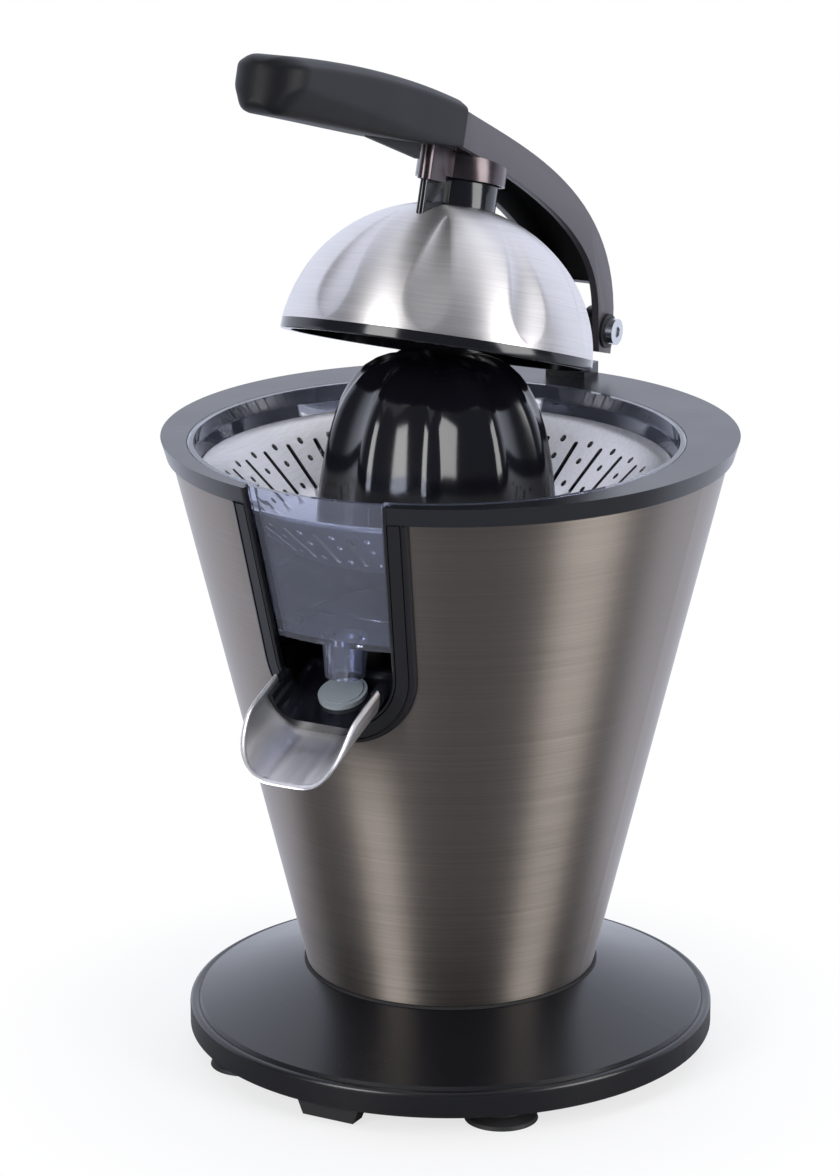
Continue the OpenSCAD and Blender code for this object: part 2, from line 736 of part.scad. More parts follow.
module gear_shape(teeth, m) {
    pitch = m * teeth / 2;
    base = pitch * cos(pressure_angle);
    root = pitch - m;
    tip = pitch + 0.75 * m;
    start = max(base, root + 0.05 * m);
    steps = 3;
    radii = [for (i = [0:steps]) start + (tip - start) * i / steps];
    polygon([for (t = [0:teeth - 1]) for (p = concat(
        [[root, -tooth_half(teeth, m, start)]],
        [for (r = radii) [r, -tooth_half(teeth, m, r)]],
        [for (i = [steps:-1:0]) [radii[i], tooth_half(teeth, m, radii[i])]],
        [[root, tooth_half(teeth, m, start)]]
    )) let (a = t * 360 / teeth + p[1]) [p[0] * cos(a), p[0] * sin(a)]]);
}

module shaft_section(r) {
    intersection() {
        circle(r = r);
        translate([-r - past, -r - past]) square([2 * r - shaft_flat + past, 2 * r + 2 * past]);
    }
}

module drive_shaft() {
    color("#9a9da1") on_squeeze_axis() {
        translate([0, 0, shaft_low_z]) linear_extrude(flat_top_z - shaft_low_z) shaft_section(shaft_r);
        translate([0, 0, flat_top_z]) cylinder(h = shaft_top_z - flat_top_z, r = shaft_r);
    }
}

module output_gear() {
    color("#d8d4c8") on_squeeze_axis() rotate([0, 0, idler_angle]) difference() {
        union() {
            translate([0, 0, output_low_z]) linear_extrude(output_h) gear_shape(output_teeth, coarse_module);
            translate([0, 0, hub_low_z]) cylinder(h = hub_high_z - hub_low_z, r = hub_r);
            ring(hub_r - 1, bush_r, plate_z + plate_h + 4.3, output_low_z);
        }
        rotate([0, 0, -idler_angle]) translate([0, 0, hub_low_z - past])
            linear_extrude(hub_high_z - hub_low_z + 2 * past) shaft_section(shaft_r + run_gap);
    }
}

module shaft_bushes() {
    color("#b08d57") on_squeeze_axis() {
        ring(hub_r + run_gap, bush_r, plate_z, plate_z + plate_h + 4);
        ring(hub_r + run_gap, bush_r, deck_low_z - 8, deck_low_z - 1);
    }
}

module shaft_seal() {
    color("#1a1a1a") on_squeeze_axis() {
        ring(shaft_r + 0.1, bush_r, deck_low_z - 0.6, deck_low_z - 0.6 + seal_h);
        ring(bush_r - 1, tube_r - 2 - touch_gap, bowl_low_z - 1, bowl_low_z + 3);
        ring(shaft_r + 0.1, bush_r, bowl_low_z + 1, bowl_low_z + 3);
    }
}

module idler_gear() {
    small_h = 14;
    color("#d8d4c8") placed() translate([idler_at[0], idler_at[1], 0]) difference() {
        union() {
            translate([0, 0, idler_large_low_z]) rotate([0, 0, motor_angle])
                linear_extrude(idler_large_h) gear_shape(idler_large_teeth, fine_module);
            translate([0, 0, idler_large_low_z + 1]) rotate([0, 0, idler_angle + 180 + 180 / idler_small_teeth])
                linear_extrude(small_h + idler_large_h - 1) gear_shape(idler_small_teeth, coarse_module);
            translate([0, 0, plate_z + plate_h + fit_gap]) cylinder(h = 6, r = 6);
        }
        translate([0, 0, plate_z]) cylinder(h = 60, r = idler_pin_r + run_gap);
    }
}

module idler_pin() {
    color("#9a9da1") placed() translate([idler_at[0], idler_at[1], plate_z - 1])
        cylinder(h = deck_low_z + 2.4 - plate_z + 1, r = idler_pin_r);
}

plate_box = [[-47, -33], [53, 54]];

module gearbox_plate() {
    color("#a7a9ac") placed() difference() {
        translate([plate_box[0][0], plate_box[0][1], plate_z])
            cube([plate_box[1][0] - plate_box[0][0], plate_box[1][1] - plate_box[0][1], plate_h]);
        translate([0, -squeeze_front, plate_z - past]) cylinder(h = plate_h + 2 * past, r = bush_r + touch_gap);
        translate([idler_at[0], idler_at[1], plate_z - past])
            cylinder(h = plate_h + 2 * past, r = idler_pin_r + touch_gap);
        translate([motor_at[0], motor_at[1], plate_z - past]) cylinder(h = plate_h + 2 * past, r = 5);
        for (p = pillar_places) translate([p[0], p[1], plate_z - past]) cylinder(h = plate_h + 2 * past, r = 1.6);
        for (end = [-1, 1]) translate([motor_at[0], motor_at[1] + end * motor_screw_y, plate_z - past])
            cylinder(h = plate_h + 2 * past, r = motor_screw_r + touch_gap);
    }
}

module gearbox_screws() {
    color("#8b8d90") placed() for (p = pillar_places)
        translate([p[0], p[1], plate_z - 2 - touch_gap]) screw(1.45, 3, 2, 14);
}

motor_screw_y = 20;
motor_screw_r = 1.6;
stator_h = 30;
stator_low_z = plate_z - stator_h - 21;
stator_half = 24;
winding_w = 4.6;
winding_depth = 17.6;
rotor_r = 12;
motor_shaft_r = 3;
bearing_r = 6;
bracket_gap = 6;
fan_low_z = stator_low_z - 23;

module at_motor() {
    placed() translate([motor_at[0], motor_at[1], 0]) children();
}

module stator() {
    color("#5c6068") at_motor() difference() {
        translate([-stator_half, -stator_half, stator_low_z]) cube([2 * stator_half, 2 * stator_half, stator_h]);
        translate([0, 0, stator_low_z - past]) cylinder(h = stator_h + 2 * past, r = rotor_r + 0.6);
        for (side = [-1, 1]) translate([side * (rotor_r + 4), 0, stator_low_z + stator_h / 2])
            cube([winding_w + 0.4, winding_depth + 0.4, stator_h + 2 * past], center = true);
        for (end = [-1, 1]) translate([0, end * motor_screw_y, stator_low_z - past])
            cylinder(h = stator_h + 2 * past, r = motor_screw_r + touch_gap);
    }
}

module windings() {
    color("#a5562b") at_motor() for (side = [-1, 1])
        translate([side * (rotor_r + 4), 0, stator_low_z + stator_h / 2])
            cube([winding_w, winding_depth, stator_h + 8], center = true);
}

module motor_brackets() {
    color("#a7a9ac") at_motor() for (z = [stator_low_z - bracket_gap - plate_h, stator_low_z + stator_h + bracket_gap])
        difference() {
            translate([-9, -stator_half - 1, z]) cube([18, 2 * stator_half + 2, plate_h]);
            translate([0, 0, z - past]) cylinder(h = plate_h + 2 * past, r = bearing_r + touch_gap);
            for (end = [-1, 1]) translate([0, end * motor_screw_y, z - past])
                cylinder(h = plate_h + 2 * past, r = motor_screw_r + touch_gap);
        }
}

module motor_bearings() {
    color("#b08d57") at_motor() for (z = [stator_low_z - bracket_gap - plate_h, stator_low_z + stator_h + bracket_gap])
        ring(motor_shaft_r + run_gap, bearing_r, z - 2, z + plate_h + 2);
}

module motor_screws() {
    low_z = stator_low_z - bracket_gap - plate_h - 2.1;
    color("#8b8d90") at_motor() for (end = [-1, 1]) translate([0, end * motor_screw_y, low_z]) {
        screw(motor_screw_r, 3, 2, plate_z + plate_h - low_z - 2.1);
        ring(motor_screw_r + touch_gap, 3, 2.1 + plate_h + touch_gap, 2 + plate_h + bracket_gap);
        ring(motor_screw_r + touch_gap, 3, stator_low_z + stator_h - low_z + touch_gap,
            stator_low_z + stator_h + bracket_gap - low_z - touch_gap);
        ring(motor_screw_r + touch_gap, 3, stator_low_z + stator_h + bracket_gap + plate_h - low_z + touch_gap,
            plate_z - low_z - touch_gap);
    }
}

module motor_shaft() {
    low_z = fan_low_z - 1;
    top_z = idler_large_low_z + idler_large_h + 2;
    color("#9a9da1") at_motor() {
        translate([0, 0, low_z]) cylinder(h = top_z - low_z, r = motor_shaft_r);
        translate([0, 0, idler_large_low_z - 1]) rotate([0, 0, motor_angle + 180 + 180 / pinion_teeth])
            linear_extrude(idler_large_h + 2) gear_shape(pinion_teeth, fine_module);
    }
}

module rotor() {
    color("#6e727a") at_motor() difference() {
        translate([0, 0, stator_low_z + 1]) cylinder(h = stator_h - 2, r = rotor_r);
        translate([0, 0, stator_low_z]) cylinder(h = stator_h, r = motor_shaft_r + touch_gap);
    }
}

module cooling_fan() {
    blades = 7;
    fan_r = 20;
    color("#2c2f36") at_motor() translate([0, 0, fan_low_z]) difference() {
        union() {
            cylinder(h = 1.2, r = fan_r);
            linear_extrude(8) {
                circle(r = 6);
                for (i = [0:blades - 1]) rotate(i * 360 / blades) translate([0, -0.6]) square([fan_r - 0.5, 1.2]);
            }
        }
        translate([0, 0, -past]) cylinder(h = 12, r = motor_shaft_r + touch_gap);
    }
}

guide_r = 7;
guide_low_z = plate_z - 23;
cup_low_z = plate_z - 11.5;
plunger_r = 2;
switch_top_z = plate_z - 29;
switch_low_z = plate_z - 43;

module thrust_guide() {
    color("#c9c5b8") on_squeeze_axis() {
        ring(guide_r + run_gap, bush_r, guide_low_z, plate_z - 2.5);
        ring(plunger_r + run_gap, bush_r, guide_low_z, guide_low_z + 2);
        ring(bush_r - 0.5, bush_r + 5, plate_z - 4, plate_z - touch_gap);
        for (side = [-1, 1]) translate([side * 10.9 - 0.7, -3, switch_low_z + 2])
            cube([1.4, 6, guide_low_z + 2 - switch_low_z]);
        for (side = [-1, 1]) translate([side > 0 ? 8 : -11, -3, guide_low_z + 0.01]) cube([3, 6, 2]);
    }
}

module thrust_cup() {
    color("#c9c5b8") on_squeeze_axis() difference() {
        union() {
            translate([0, 0, cup_low_z]) cylinder(h = 7.5, r = guide_r);
            translate([0, 0, switch_top_z + 2.9]) cylinder(h = cup_low_z - switch_top_z - 2, r = plunger_r);
        }
        translate([0, 0, shaft_low_z - 0.1]) cylinder(h = 10, r = shaft_r + 0.1);
    }
}

module press_spring() {
    color("#7d8085") on_squeeze_axis() translate([0, 0, guide_low_z + 2 + touch_gap])
        coil_spring(4.2, 0.6, cup_low_z - guide_low_z - 2 - 2 * touch_gap, 4);
}

module microswitch() {
    color("#20242c") on_squeeze_axis() difference() {
        translate([-10.2, -3, switch_low_z]) cube([20.4, 6, switch_top_z - switch_low_z]);
        translate([0, 0, switch_top_z - 7]) cylinder(h = 8, r = 1.5 + run_gap);
    }
}

module switch_button() {
    color("#b5402a") on_squeeze_axis() translate([0, 0, switch_top_z - 4]) cylinder(h = 6.8, r = 1.5);
}

// Lever --------------------------------------------------------------------------------------------

arm_half = arm_w / 2;
boss_half = post_half + 0.2;
washer_h = 1.2;
tongue_half = 6;
tongue_low_v = 56.5;
tongue_high_v = 62.5;

module arm() {
    web = moved_curve(arm_top, arm_wall);
    keep = [for (p = web) if (p[1] > 14) p];
    color("#6d6772") on_lever() difference() {
        side_extrude(arm_w) polygon(concat(arm_top, reversed(arm_under)));
        difference() {
            side_extrude(arm_w - 2 * arm_wall) polygon(concat(
                [[-20, -30], [-20, 14]], keep, [[arm_reach + 5, 64.1], [arm_reach + 5, -30]]));
            for (side = [-1, 1]) translate([side * (boss_half + 5), 0, 0]) rotate([0, 90, 0])
                cylinder(h = 10, r = tongue_r + 1.5, center = true);
        }
        rotate([0, 90, 0]) cylinder(h = arm_w + 10, r = pivot_r + touch_gap, center = true);
    }
}

// Die-cast block inside the arm that carries the dome and the grip's tongue
module holder_block() {
    back_u = dome_u - 15;
    color("#4a4c50") on_lever() difference() {
        union() {
            intersection() {
                side_extrude(arm_w - 2 * arm_wall - 0.1) polygon(concat(
                    moved_curve(arm_top, arm_wall + 0.05), reversed(moved_curve(arm_under, -0.05))));
                translate([-arm_half, -arm_reach + 0.5, 0]) cube([arm_w, arm_reach - 0.5 - back_u, 100]);
            }
            translate([-tongue_half, -tongue_end_u, tongue_low_v])
                cube([2 * tongue_half, tongue_end_u - arm_reach + 6, tongue_high_v - tongue_low_v]);
        }
        translate([0, -dome_u, 0]) cylinder(h = lip_v + bolt_top_h + 0.6, r = 3 + touch_gap);
        translate([0, -dome_u, 0]) cylinder(h = lip_v + arm_under_h - 0.45, r = stem_bore_r);
        for (u = grip_screw_u) translate([0, -u, tongue_low_v - past])
            cylinder(h = 10, r = 1.7);
    }
}

tongue_end_u = arm_reach + 79;
grip_screw_u = [tongue_end_u - 23, tongue_end_u - 8];

module grip_solid() {
    end_r = grip_w / 2;
    intersection() {
        side_extrude(grip_w) polygon(concat(grip_top, [[grip_reach, grip_end_low]], reversed(grip_under)));
        union() {
            translate([0, -grip_reach + end_r, 0]) cylinder(h = 100, r = end_r);
            translate([-end_r, -grip_reach + end_r, 0]) cube([2 * end_r, grip_reach - end_r, 100]);
        }
        translate([0, -grip_reach + 17, grip_end_v]) rotate([0, 90, 0]) union() {
            cylinder(h = 60, r = 17.2, center = true);
            translate([-60, 0, -30]) cube([120, grip_reach, 60]);
        }
    }
}

module grip() {
    color("#3a3b3f") on_lever() difference() {
        translate([0, -0.3, 0]) grip_solid();
        translate([-tongue_half - 0.1, -tongue_end_u - 0.1, tongue_low_v - 0.1])
            cube([2 * tongue_half + 0.2, tongue_end_u - arm_reach + 10, tongue_high_v - tongue_low_v + 0.2]);
        for (u = grip_screw_u) translate([0, -u, 30]) {
            cylinder(h = tongue_low_v - 30, r = 1.7);
            cylinder(h = tongue_low_v - 30 - 4, r = 3.1);
        }
        rib_blade(0.1);
        translate([-20, -arm_reach + 0.3 - 0.6, 0]) cube([40, 10, 100]);
    }
}

module grip_screws() {
    color("#8b8d90") on_lever() for (u = grip_screw_u)
        translate([0, -u, tongue_low_v - 6]) screw(1.6, 2.9, 2, 9);
}

module rib_blade(extra) {
    half = 1 + extra;
    back_u = arm_reach + 9;
    tip_u = back_u + 40.4;
    side_extrude(2 * half) polygon([
        [back_u - extra, grip_low_v - 6.8], [tip_u + extra, grip_low_v - 4.4],
        [tip_u + extra, grip_low_v - 2.2], [back_u - extra, grip_low_v + 0.8 + extra]
    ]);
}

module support_rib() {
    color("#121214") on_lever() rib_blade(0);
}

module pivot_bolt() {
    color("#c3c6ca") on_lever() {
        difference() {
            union() {
                translate([-arm_half - 8, 0, 0]) rotate([0, 90, 0])
                    cylinder(h = arm_w + 8 + washer_h + 1, r = pivot_r);
                translate([arm_half + washer_h + 0.1, 0, 0]) rotate([0, 90, 0]) cylinder(h = 3.6, r = 5.2);
            }
            translate([arm_half + washer_h + 3, 0, 0]) rotate([0, 90, 0]) cylinder(h = 5, r = 2.4, $fn = 6);
        }
        translate([-arm_half - washer_h - 5.1, 0, 0]) rotate([0, 90, 0]) difference() {
            cylinder(h = 5, r = 5.6, $fn = 6);
            translate([0, 0, -past]) cylinder(h = 7, r = pivot_r - touch_gap);
        }
    }
}

module pivot_washers() {
    color("#17181a") on_lever() for (x = [-arm_half - washer_h - 0.05, arm_half + 0.05])
        translate([x, 0, 0]) rotate([0, 90, 0]) ring(pivot_r + touch_gap, 6.8, 0, washer_h);
}

// Dome and what holds it ---------------------------------------------------------------------------

sleeve_r = stem_r + 2.3;
sleeve_wall = 1;
sleeve_web = 5;
nose_s = 28.1;
nose_r = 2.9;
sleeve_low_h = 63.7;
nose_low_h = 61.1;
flange_low_h = dome_h - 5.5;
flange_h = 4;
bolt_r = 4;
spigot_r = 9.5;
stem_bore_r = 8.6;
block_recess = 0.25;
arm_under_h = lookup(dome_u, arm_under) - lip_v + block_recess;
bolt_top_h = arm_under_h + 7.6;
stem_top_h = arm_under_h - 2.8 - dome_travel;

// Round bar with a fin that narrows to a round nose in front, between two heights
module keyhole(r, web_half, tip_r, low_h, high_h) {
    waist = 0.96 * tip_r;
    translate([0, 0, low_h]) {
        cylinder(h = high_h - low_h, r = r);
        translate([0, -nose_s, 0]) cylinder(h = high_h - low_h, r = tip_r);
        linear_extrude(high_h - low_h) polygon([
            [-web_half, 0], [web_half, 0], [web_half, -r], [waist, -nose_s], [-waist, -nose_s], [-web_half, -r]
        ]);
    }
}

module above_arm_underside() {
    side_extrude(60) polygon(concat(arm_under, [[arm_reach + 0.05, 53.6]], grip_under,
        [[grip_reach, 150], [-40, 150], [-40, -9]]));
}

module dome_sleeve() {
    color("#5b4f4d") difference() {
        on_dome() difference() {
            keyhole(sleeve_r, sleeve_web, nose_r, nose_low_h, nose_low_h + 24);
            keyhole(sleeve_r - sleeve_wall, sleeve_web - sleeve_wall, nose_r - sleeve_wall,
                nose_low_h - past, nose_low_h + 26);
            translate([-30, -20, nose_low_h - past]) cube([60, 60, sleeve_low_h - nose_low_h + past]);
        }
        on_lever() translate([0, 0, -touch_gap]) above_arm_underside();
    }
}

module guide_bolt() {
    head_h = 3.6;
    color("#9a9da1") on_dome() {
        translate([0, 0, flange_low_h - head_h - 0.1]) difference() {
            cylinder(h = head_h, r = 6.5);
            translate([0, 0, -past]) cylinder(h = 3, r = 2.5, $fn = 6);
        }
        translate([0, 0, flange_low_h - 0.2]) cylinder(h = arm_under_h - flange_low_h - 0.3, r = bolt_r);
        translate([0, 0, arm_under_h - 0.6]) cylinder(h = bolt_top_h - arm_under_h + 0.6, r = 3);
    }
}

module dome_spring() {
    low_h = flange_low_h + flange_h + touch_gap;
    color("#7d8085") on_dome() translate([0, 0, low_h])
        coil_spring(6.4, 0.9, arm_under_h - low_h - 0.6, 5);
}

// Half profile of the dome, shrunk by an amount, from one height up
function dome_curve(inset, low_h) =
    let (r = dome_r - inset, h = dome_h - inset, first = asin(min(1, low_h / h)))
    [for (i = [0:20]) let (a = first + (90 - first) * i / 20) [r * cos(a), h * sin(a)]];

lip_band = 4;

module dome_shell() {
    color("#c9cacd") on_dome() difference() {
        rotate_extrude() polygon(concat(dome_curve(0, lip_band), reversed(dome_curve(dome_wall, lip_band))));
        translate([0, 0, flange_low_h]) cylinder(h = 20, r = spigot_r + touch_gap);
        at_angles(dome_screw_angles, dome_screw_r) translate([0, 0, flange_low_h - 8]) cylinder(h = 20, r = 1.6);
    }
}

dome_screw_angles = [30, 150, 270];
dome_screw_r = 11.9;
lip_ring_h = 21;

// Moulded ring at the dome's mouth, with the black band that the steel stands on
module dome_lip() {
    outer = dome_wall + 0.1;
    color("#121317") on_dome() difference() {
        rotate_extrude() polygon(concat(
            [[dome_r - 4, 0], [dome_r - 0.4, 0], [dome_r, 0.6], dome_curve(0, lip_band - 0.1)[0]],
            dome_curve(outer, lip_band - 0.1), reversed(dome_curve(outer + plastic_wall, lip_band - 0.1))
        ));
        translate([0, 0, lip_ring_h]) cylinder(h = dome_h, r = dome_r);
    }
}

module dome_liner() {
    outer = dome_wall + 0.1;
    low_h = lip_ring_h + touch_gap;
    color("#121317") on_dome() difference() {
        rotate_extrude() polygon(concat(dome_curve(outer, low_h),
            reversed(dome_curve(outer + plastic_wall, low_h))));
        translate([0, 0, flange_low_h - 5]) cylinder(h = 20, r = spigot_r + touch_gap);
        at_angles(dome_screw_angles, dome_screw_r) translate([0, 0, flange_low_h - 8]) cylinder(h = 20, r = 1.6);
    }
}

module dome_stem() {
    inner = sleeve_wall + fit_gap;
    color("#15161a") on_dome() difference() {
        union() {
            difference() {
                keyhole(stem_r, sleeve_web - inner, nose_r - inner, dome_h - 16, stem_top_h);
                rotate_extrude() polygon(concat([[0, 0], [dome_r, 0]], dome_curve(-2 * touch_gap, 0)));
            }
            translate([0, 0, flange_low_h]) cylinder(h = 6, r = spigot_r);
        }
        translate([0, 0, flange_low_h - past]) cylinder(h = 20, r = bolt_r + run_gap);
        translate([0, 0, flange_low_h + flange_h]) cylinder(h = 20, r = stem_bore_r);
        at_angles(dome_screw_angles, dome_screw_r) translate([0, 0, flange_low_h - 8]) cylinder(h = 18, r = 1.35);
    }
}

module dome_screws() {
    color("#8b8d90") on_dome() at_angles(dome_screw_angles, dome_screw_r)
        translate([0, 0, flange_low_h - 1.8]) screw(1.3, 2.4, 1.8, 9);
}

// Spout --------------------------------------------------------------------------------------------

spout_pin_y = spout_y - 26.1;
spout_pin_z = window_z - 15.65;
spout_pin_r = 2;
spout_wall = 1.2;
tray_depth = 11;
disc_s = -9;

// Frame of the spout: origin in the middle of the trough's top where the steel starts, -Y along it
module on_spout() {
    placed() translate([0, -spout_y, spout_z]) rotate([spout_tilt, 0, 0]) children();
}

// Round-bottomed trough section
module trough(half, depth, r) {
    for (side = [-1, 1]) translate([side * (half - r), r - depth]) circle(r = r);
    translate([r - half, -depth]) square([2 * (half - r), depth]);
    translate([-half, r - depth]) square([2 * half, depth - r]);
}

module spout_slant(front_past) {
    lean = 18;
    translate([0, -spout_len - front_past, 0]) rotate([90, 0, -90]) linear_extrude(80, center = true)
        polygon([[0, past], [60, past], [60, -spout_depth - past], [lean + lean / spout_depth, -spout_depth - past]]);
}

spout_corner = spout_depth - 0.2;

module spout_shell() {
    color("#b9bcc0") on_spout() difference() {
        front_extrude(0, spout_len + 24) trough(spout_half, spout_depth, spout_corner);
        translate([0, past, 0]) front_extrude(0, spout_len + 30)
            trough(spout_half - spout_wall, spout_depth - spout_wall, spout_corner - spout_wall);
        translate([-30, -60, 0]) cube([60, 80, 20]);
        spout_slant(0);
    }
}

// Turns with the spout on its pin, and carries the valve disc
module spout_carrier() {
    skin = spout_wall + run_gap;
    ear_r = 3;
    ear_at = 12.5;
    lip_len = 9;
    tail = 23;
    color("#131416") difference() {
        union() {
            on_spout() difference() {
                union() {
                    front_extrude(-plastic_wall, lip_len)
                        trough(spout_half - skin, spout_depth - skin, spout_corner - skin);
                    front_extrude(-tail, -touch_gap) trough(spout_half, spout_depth, spout_corner);
                }
                front_extrude(plastic_wall - tail, 20)
                    trough(spout_half - skin - plastic_wall, tray_depth, 8.5);
                translate([-30, -30, -past]) cube([60, 29.9, 20]);
                translate([-30, -0.2, -0.01]) cube([60, 80, 20]);
                translate([-30, 6, -7.5]) cube([60, 30, 20]);
            }
            for (side = [-1, 1]) hull() {
                at_spout_pin() translate([side * ear_at, 0, 0]) cylinder_x(4, ear_r);
                on_spout() translate([side * ear_at - 2, 8, -spout_depth + 1]) cube([4, 8, 3]);
            }
        }
        at_spout_pin() cylinder_x(80, spout_pin_r + run_gap);
    }
}

module at_spout_pin() {
    placed() translate([0, -spout_pin_y, spout_pin_z]) children();
}

// Cylinder along X, centred
module cylinder_x(length, r) {
    rotate([0, 90, 0]) cylinder(h = length, r = r, center = true);
}

module valve_disc() {
    color("#a9a49b") on_spout() translate([0, -disc_s, -tray_depth + touch_gap]) {
        cylinder(h = 1.8, r = disc_r);
        cylinder(h = 2.2, r = disc_r - 1.5);
    }
}

module spout_pin() {
    color("#9a9da1") at_spout_pin() cylinder_x(2 * window_r - 8, spout_pin_r);
}

base_cover();
base_plate();
suction_feet();
front_pad();
base_screws();
cord_gland();
foot_gasket();
body_shell();
bowl_jacket();
bowl_carrier();
spout_bay();
chute_frame();
rim_ring();
rim_screws();
hinge_post();
post_screws();
pivot_bush();
clear_bowl();
sieve();
shaft_seal();
shaft_bushes();
gearbox_plate();
gearbox_screws();
idler_pin();
motor_brackets();
motor_screws();
motor_bearings();
stator();
windings();
thrust_guide();
press_spring();
microswitch();
thrust_cup();
switch_button();
drive_shaft();
reamer();
output_gear();
idler_gear();
rotor();
motor_shaft();
cooling_fan();
arm();
holder_block();
grip();
grip_screws();
pivot_bolt();
pivot_washers();
support_rib();
dome_sleeve();
guide_bolt();
dome_spring();
dome_stem();
dome_shell();
dome_lip();
dome_liner();
dome_screws();
spout_carrier();
spout_shell();
valve_disc();
spout_pin();
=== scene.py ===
import json
import math

import bmesh
import bpy
from mathutils import Matrix, Vector


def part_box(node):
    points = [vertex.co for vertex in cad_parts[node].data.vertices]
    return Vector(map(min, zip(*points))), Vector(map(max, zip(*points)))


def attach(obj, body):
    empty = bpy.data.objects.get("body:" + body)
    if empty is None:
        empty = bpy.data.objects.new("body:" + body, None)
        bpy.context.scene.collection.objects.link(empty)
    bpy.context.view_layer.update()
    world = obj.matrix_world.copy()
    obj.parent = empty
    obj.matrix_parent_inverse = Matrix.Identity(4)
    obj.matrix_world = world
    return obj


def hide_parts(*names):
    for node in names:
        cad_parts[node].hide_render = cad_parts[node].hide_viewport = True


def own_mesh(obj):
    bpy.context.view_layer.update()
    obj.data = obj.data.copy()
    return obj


# Sizes are in metres. +Z is up, and the spout and the grip face -Y.
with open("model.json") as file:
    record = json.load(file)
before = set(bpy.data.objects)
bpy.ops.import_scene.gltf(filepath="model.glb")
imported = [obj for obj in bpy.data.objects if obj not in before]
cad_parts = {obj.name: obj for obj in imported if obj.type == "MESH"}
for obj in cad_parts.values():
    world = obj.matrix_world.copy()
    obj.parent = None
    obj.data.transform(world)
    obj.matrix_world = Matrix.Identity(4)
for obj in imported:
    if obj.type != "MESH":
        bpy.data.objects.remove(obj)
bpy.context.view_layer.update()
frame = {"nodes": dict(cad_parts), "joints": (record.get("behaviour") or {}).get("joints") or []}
solid = frame["nodes"]

# ---------------------------------------------------------------------------------------------
# Table and studio. The press stands on a pale matt table that runs to the horizon. Tall soft
# lamps stand round it, and the camera looks down on it a little from its right front.
# ---------------------------------------------------------------------------------------------

base_low, base_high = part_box("base_cover")
AXIS_Y = (base_low.y + base_high.y) / 2  # the round body stands a little behind the origin
CAMERA_AZIMUTH = math.radians(28.0)
CAMERA_ELEVATION = math.radians(16.755)
CAMERA_DISTANCE = 1.6823
CAMERA_AIM_Z = 0.18366
CAMERA_LENS = 134.23
CAMERA_SENSOR = 36.0
CAMERA_REACH = 50.0
AXIS_OFFSET_PX = 30.5  # the body's axis stands this far right of the view's middle
FRAME_HEIGHT_PX = 1176.0
TABLE_HALF = 4.0
TABLE_COLOUR = (0.94, 0.94, 0.95, 1.0)
TABLE_MIRRORED_COLOUR = (0.3, 0.3, 0.31, 1.0)  # as the press's own surfaces reflect it
TABLE_FLECKS = 60.0  # scales of noise are in changes to the metre
TABLE_ROUGHNESS = 0.55
TABLE_FLECK_ROUGHNESS = 0.1
TABLE_SHINE = 0.1
TABLE_NEAR = 0.118  # from the origin, where the press's shadow starts to fade
TABLE_FAR = 0.2  # and where the table has turned into backdrop
TABLE_LEAST = 0.72  # how far the table turns into backdrop right under the press
TABLE_BEHIND = (-0.04, 0.1)  # in reflections it turns from in front of the press to behind it
ROOM_COLOUR = (1.08, 1.14, 1.32, 1.0)
ROOM_STRENGTH = 0.135
BACKDROP_COLOUR = (1.0, 1.0, 1.0, 1.0)
BACKDROP_EDGE = (0.0, 0.45)  # where it starts and is full, as cosines to straight behind
LAMP_DISTANCE = 1.5
LAMP_AIM_Z = 0.2


class Value:
    """A shader socket that carries a number, so that maths on it is written as an expression."""

    def __init__(self, tree, socket):
        self.tree = tree
        self.socket = socket

    @staticmethod
    def maths(operation, first, *others):
        """The result of one maths node on values and plain numbers."""
        tree = next(t.tree for t in (first,) + others if isinstance(t, Value))
        node = tree.nodes.new("ShaderNodeMath")
        node.operation = operation
        for slot, term in zip(node.inputs, (first,) + others):
            connect(tree, slot, term)
        return Value(tree, node.outputs[0])

    def __add__(self, other):
        return Value.maths("ADD", self, other)

    def __rsub__(self, other):
        return Value.maths("SUBTRACT", other, self)

    def __mul__(self, other):
        return Value.maths("MULTIPLY", self, other)

    def __truediv__(self, other):
        return Value.maths("DIVIDE", self, other)

    def __abs__(self):
        return Value.maths("ABSOLUTE", self)

    def __lt__(self, other):
        return Value.maths("LESS_THAN", self, other)

    def __gt__(self, other):
        return Value.maths("GREATER_THAN", self, other)

    __radd__ = __add__
    __rmul__ = __mul__


def connect(tree, slot, term):
    """Links a value to a socket, or sets the socket to a plain number or colour."""
    if isinstance(term, Value):
        tree.links.new(slot, term.socket)
    else:
        slot.default_value = term


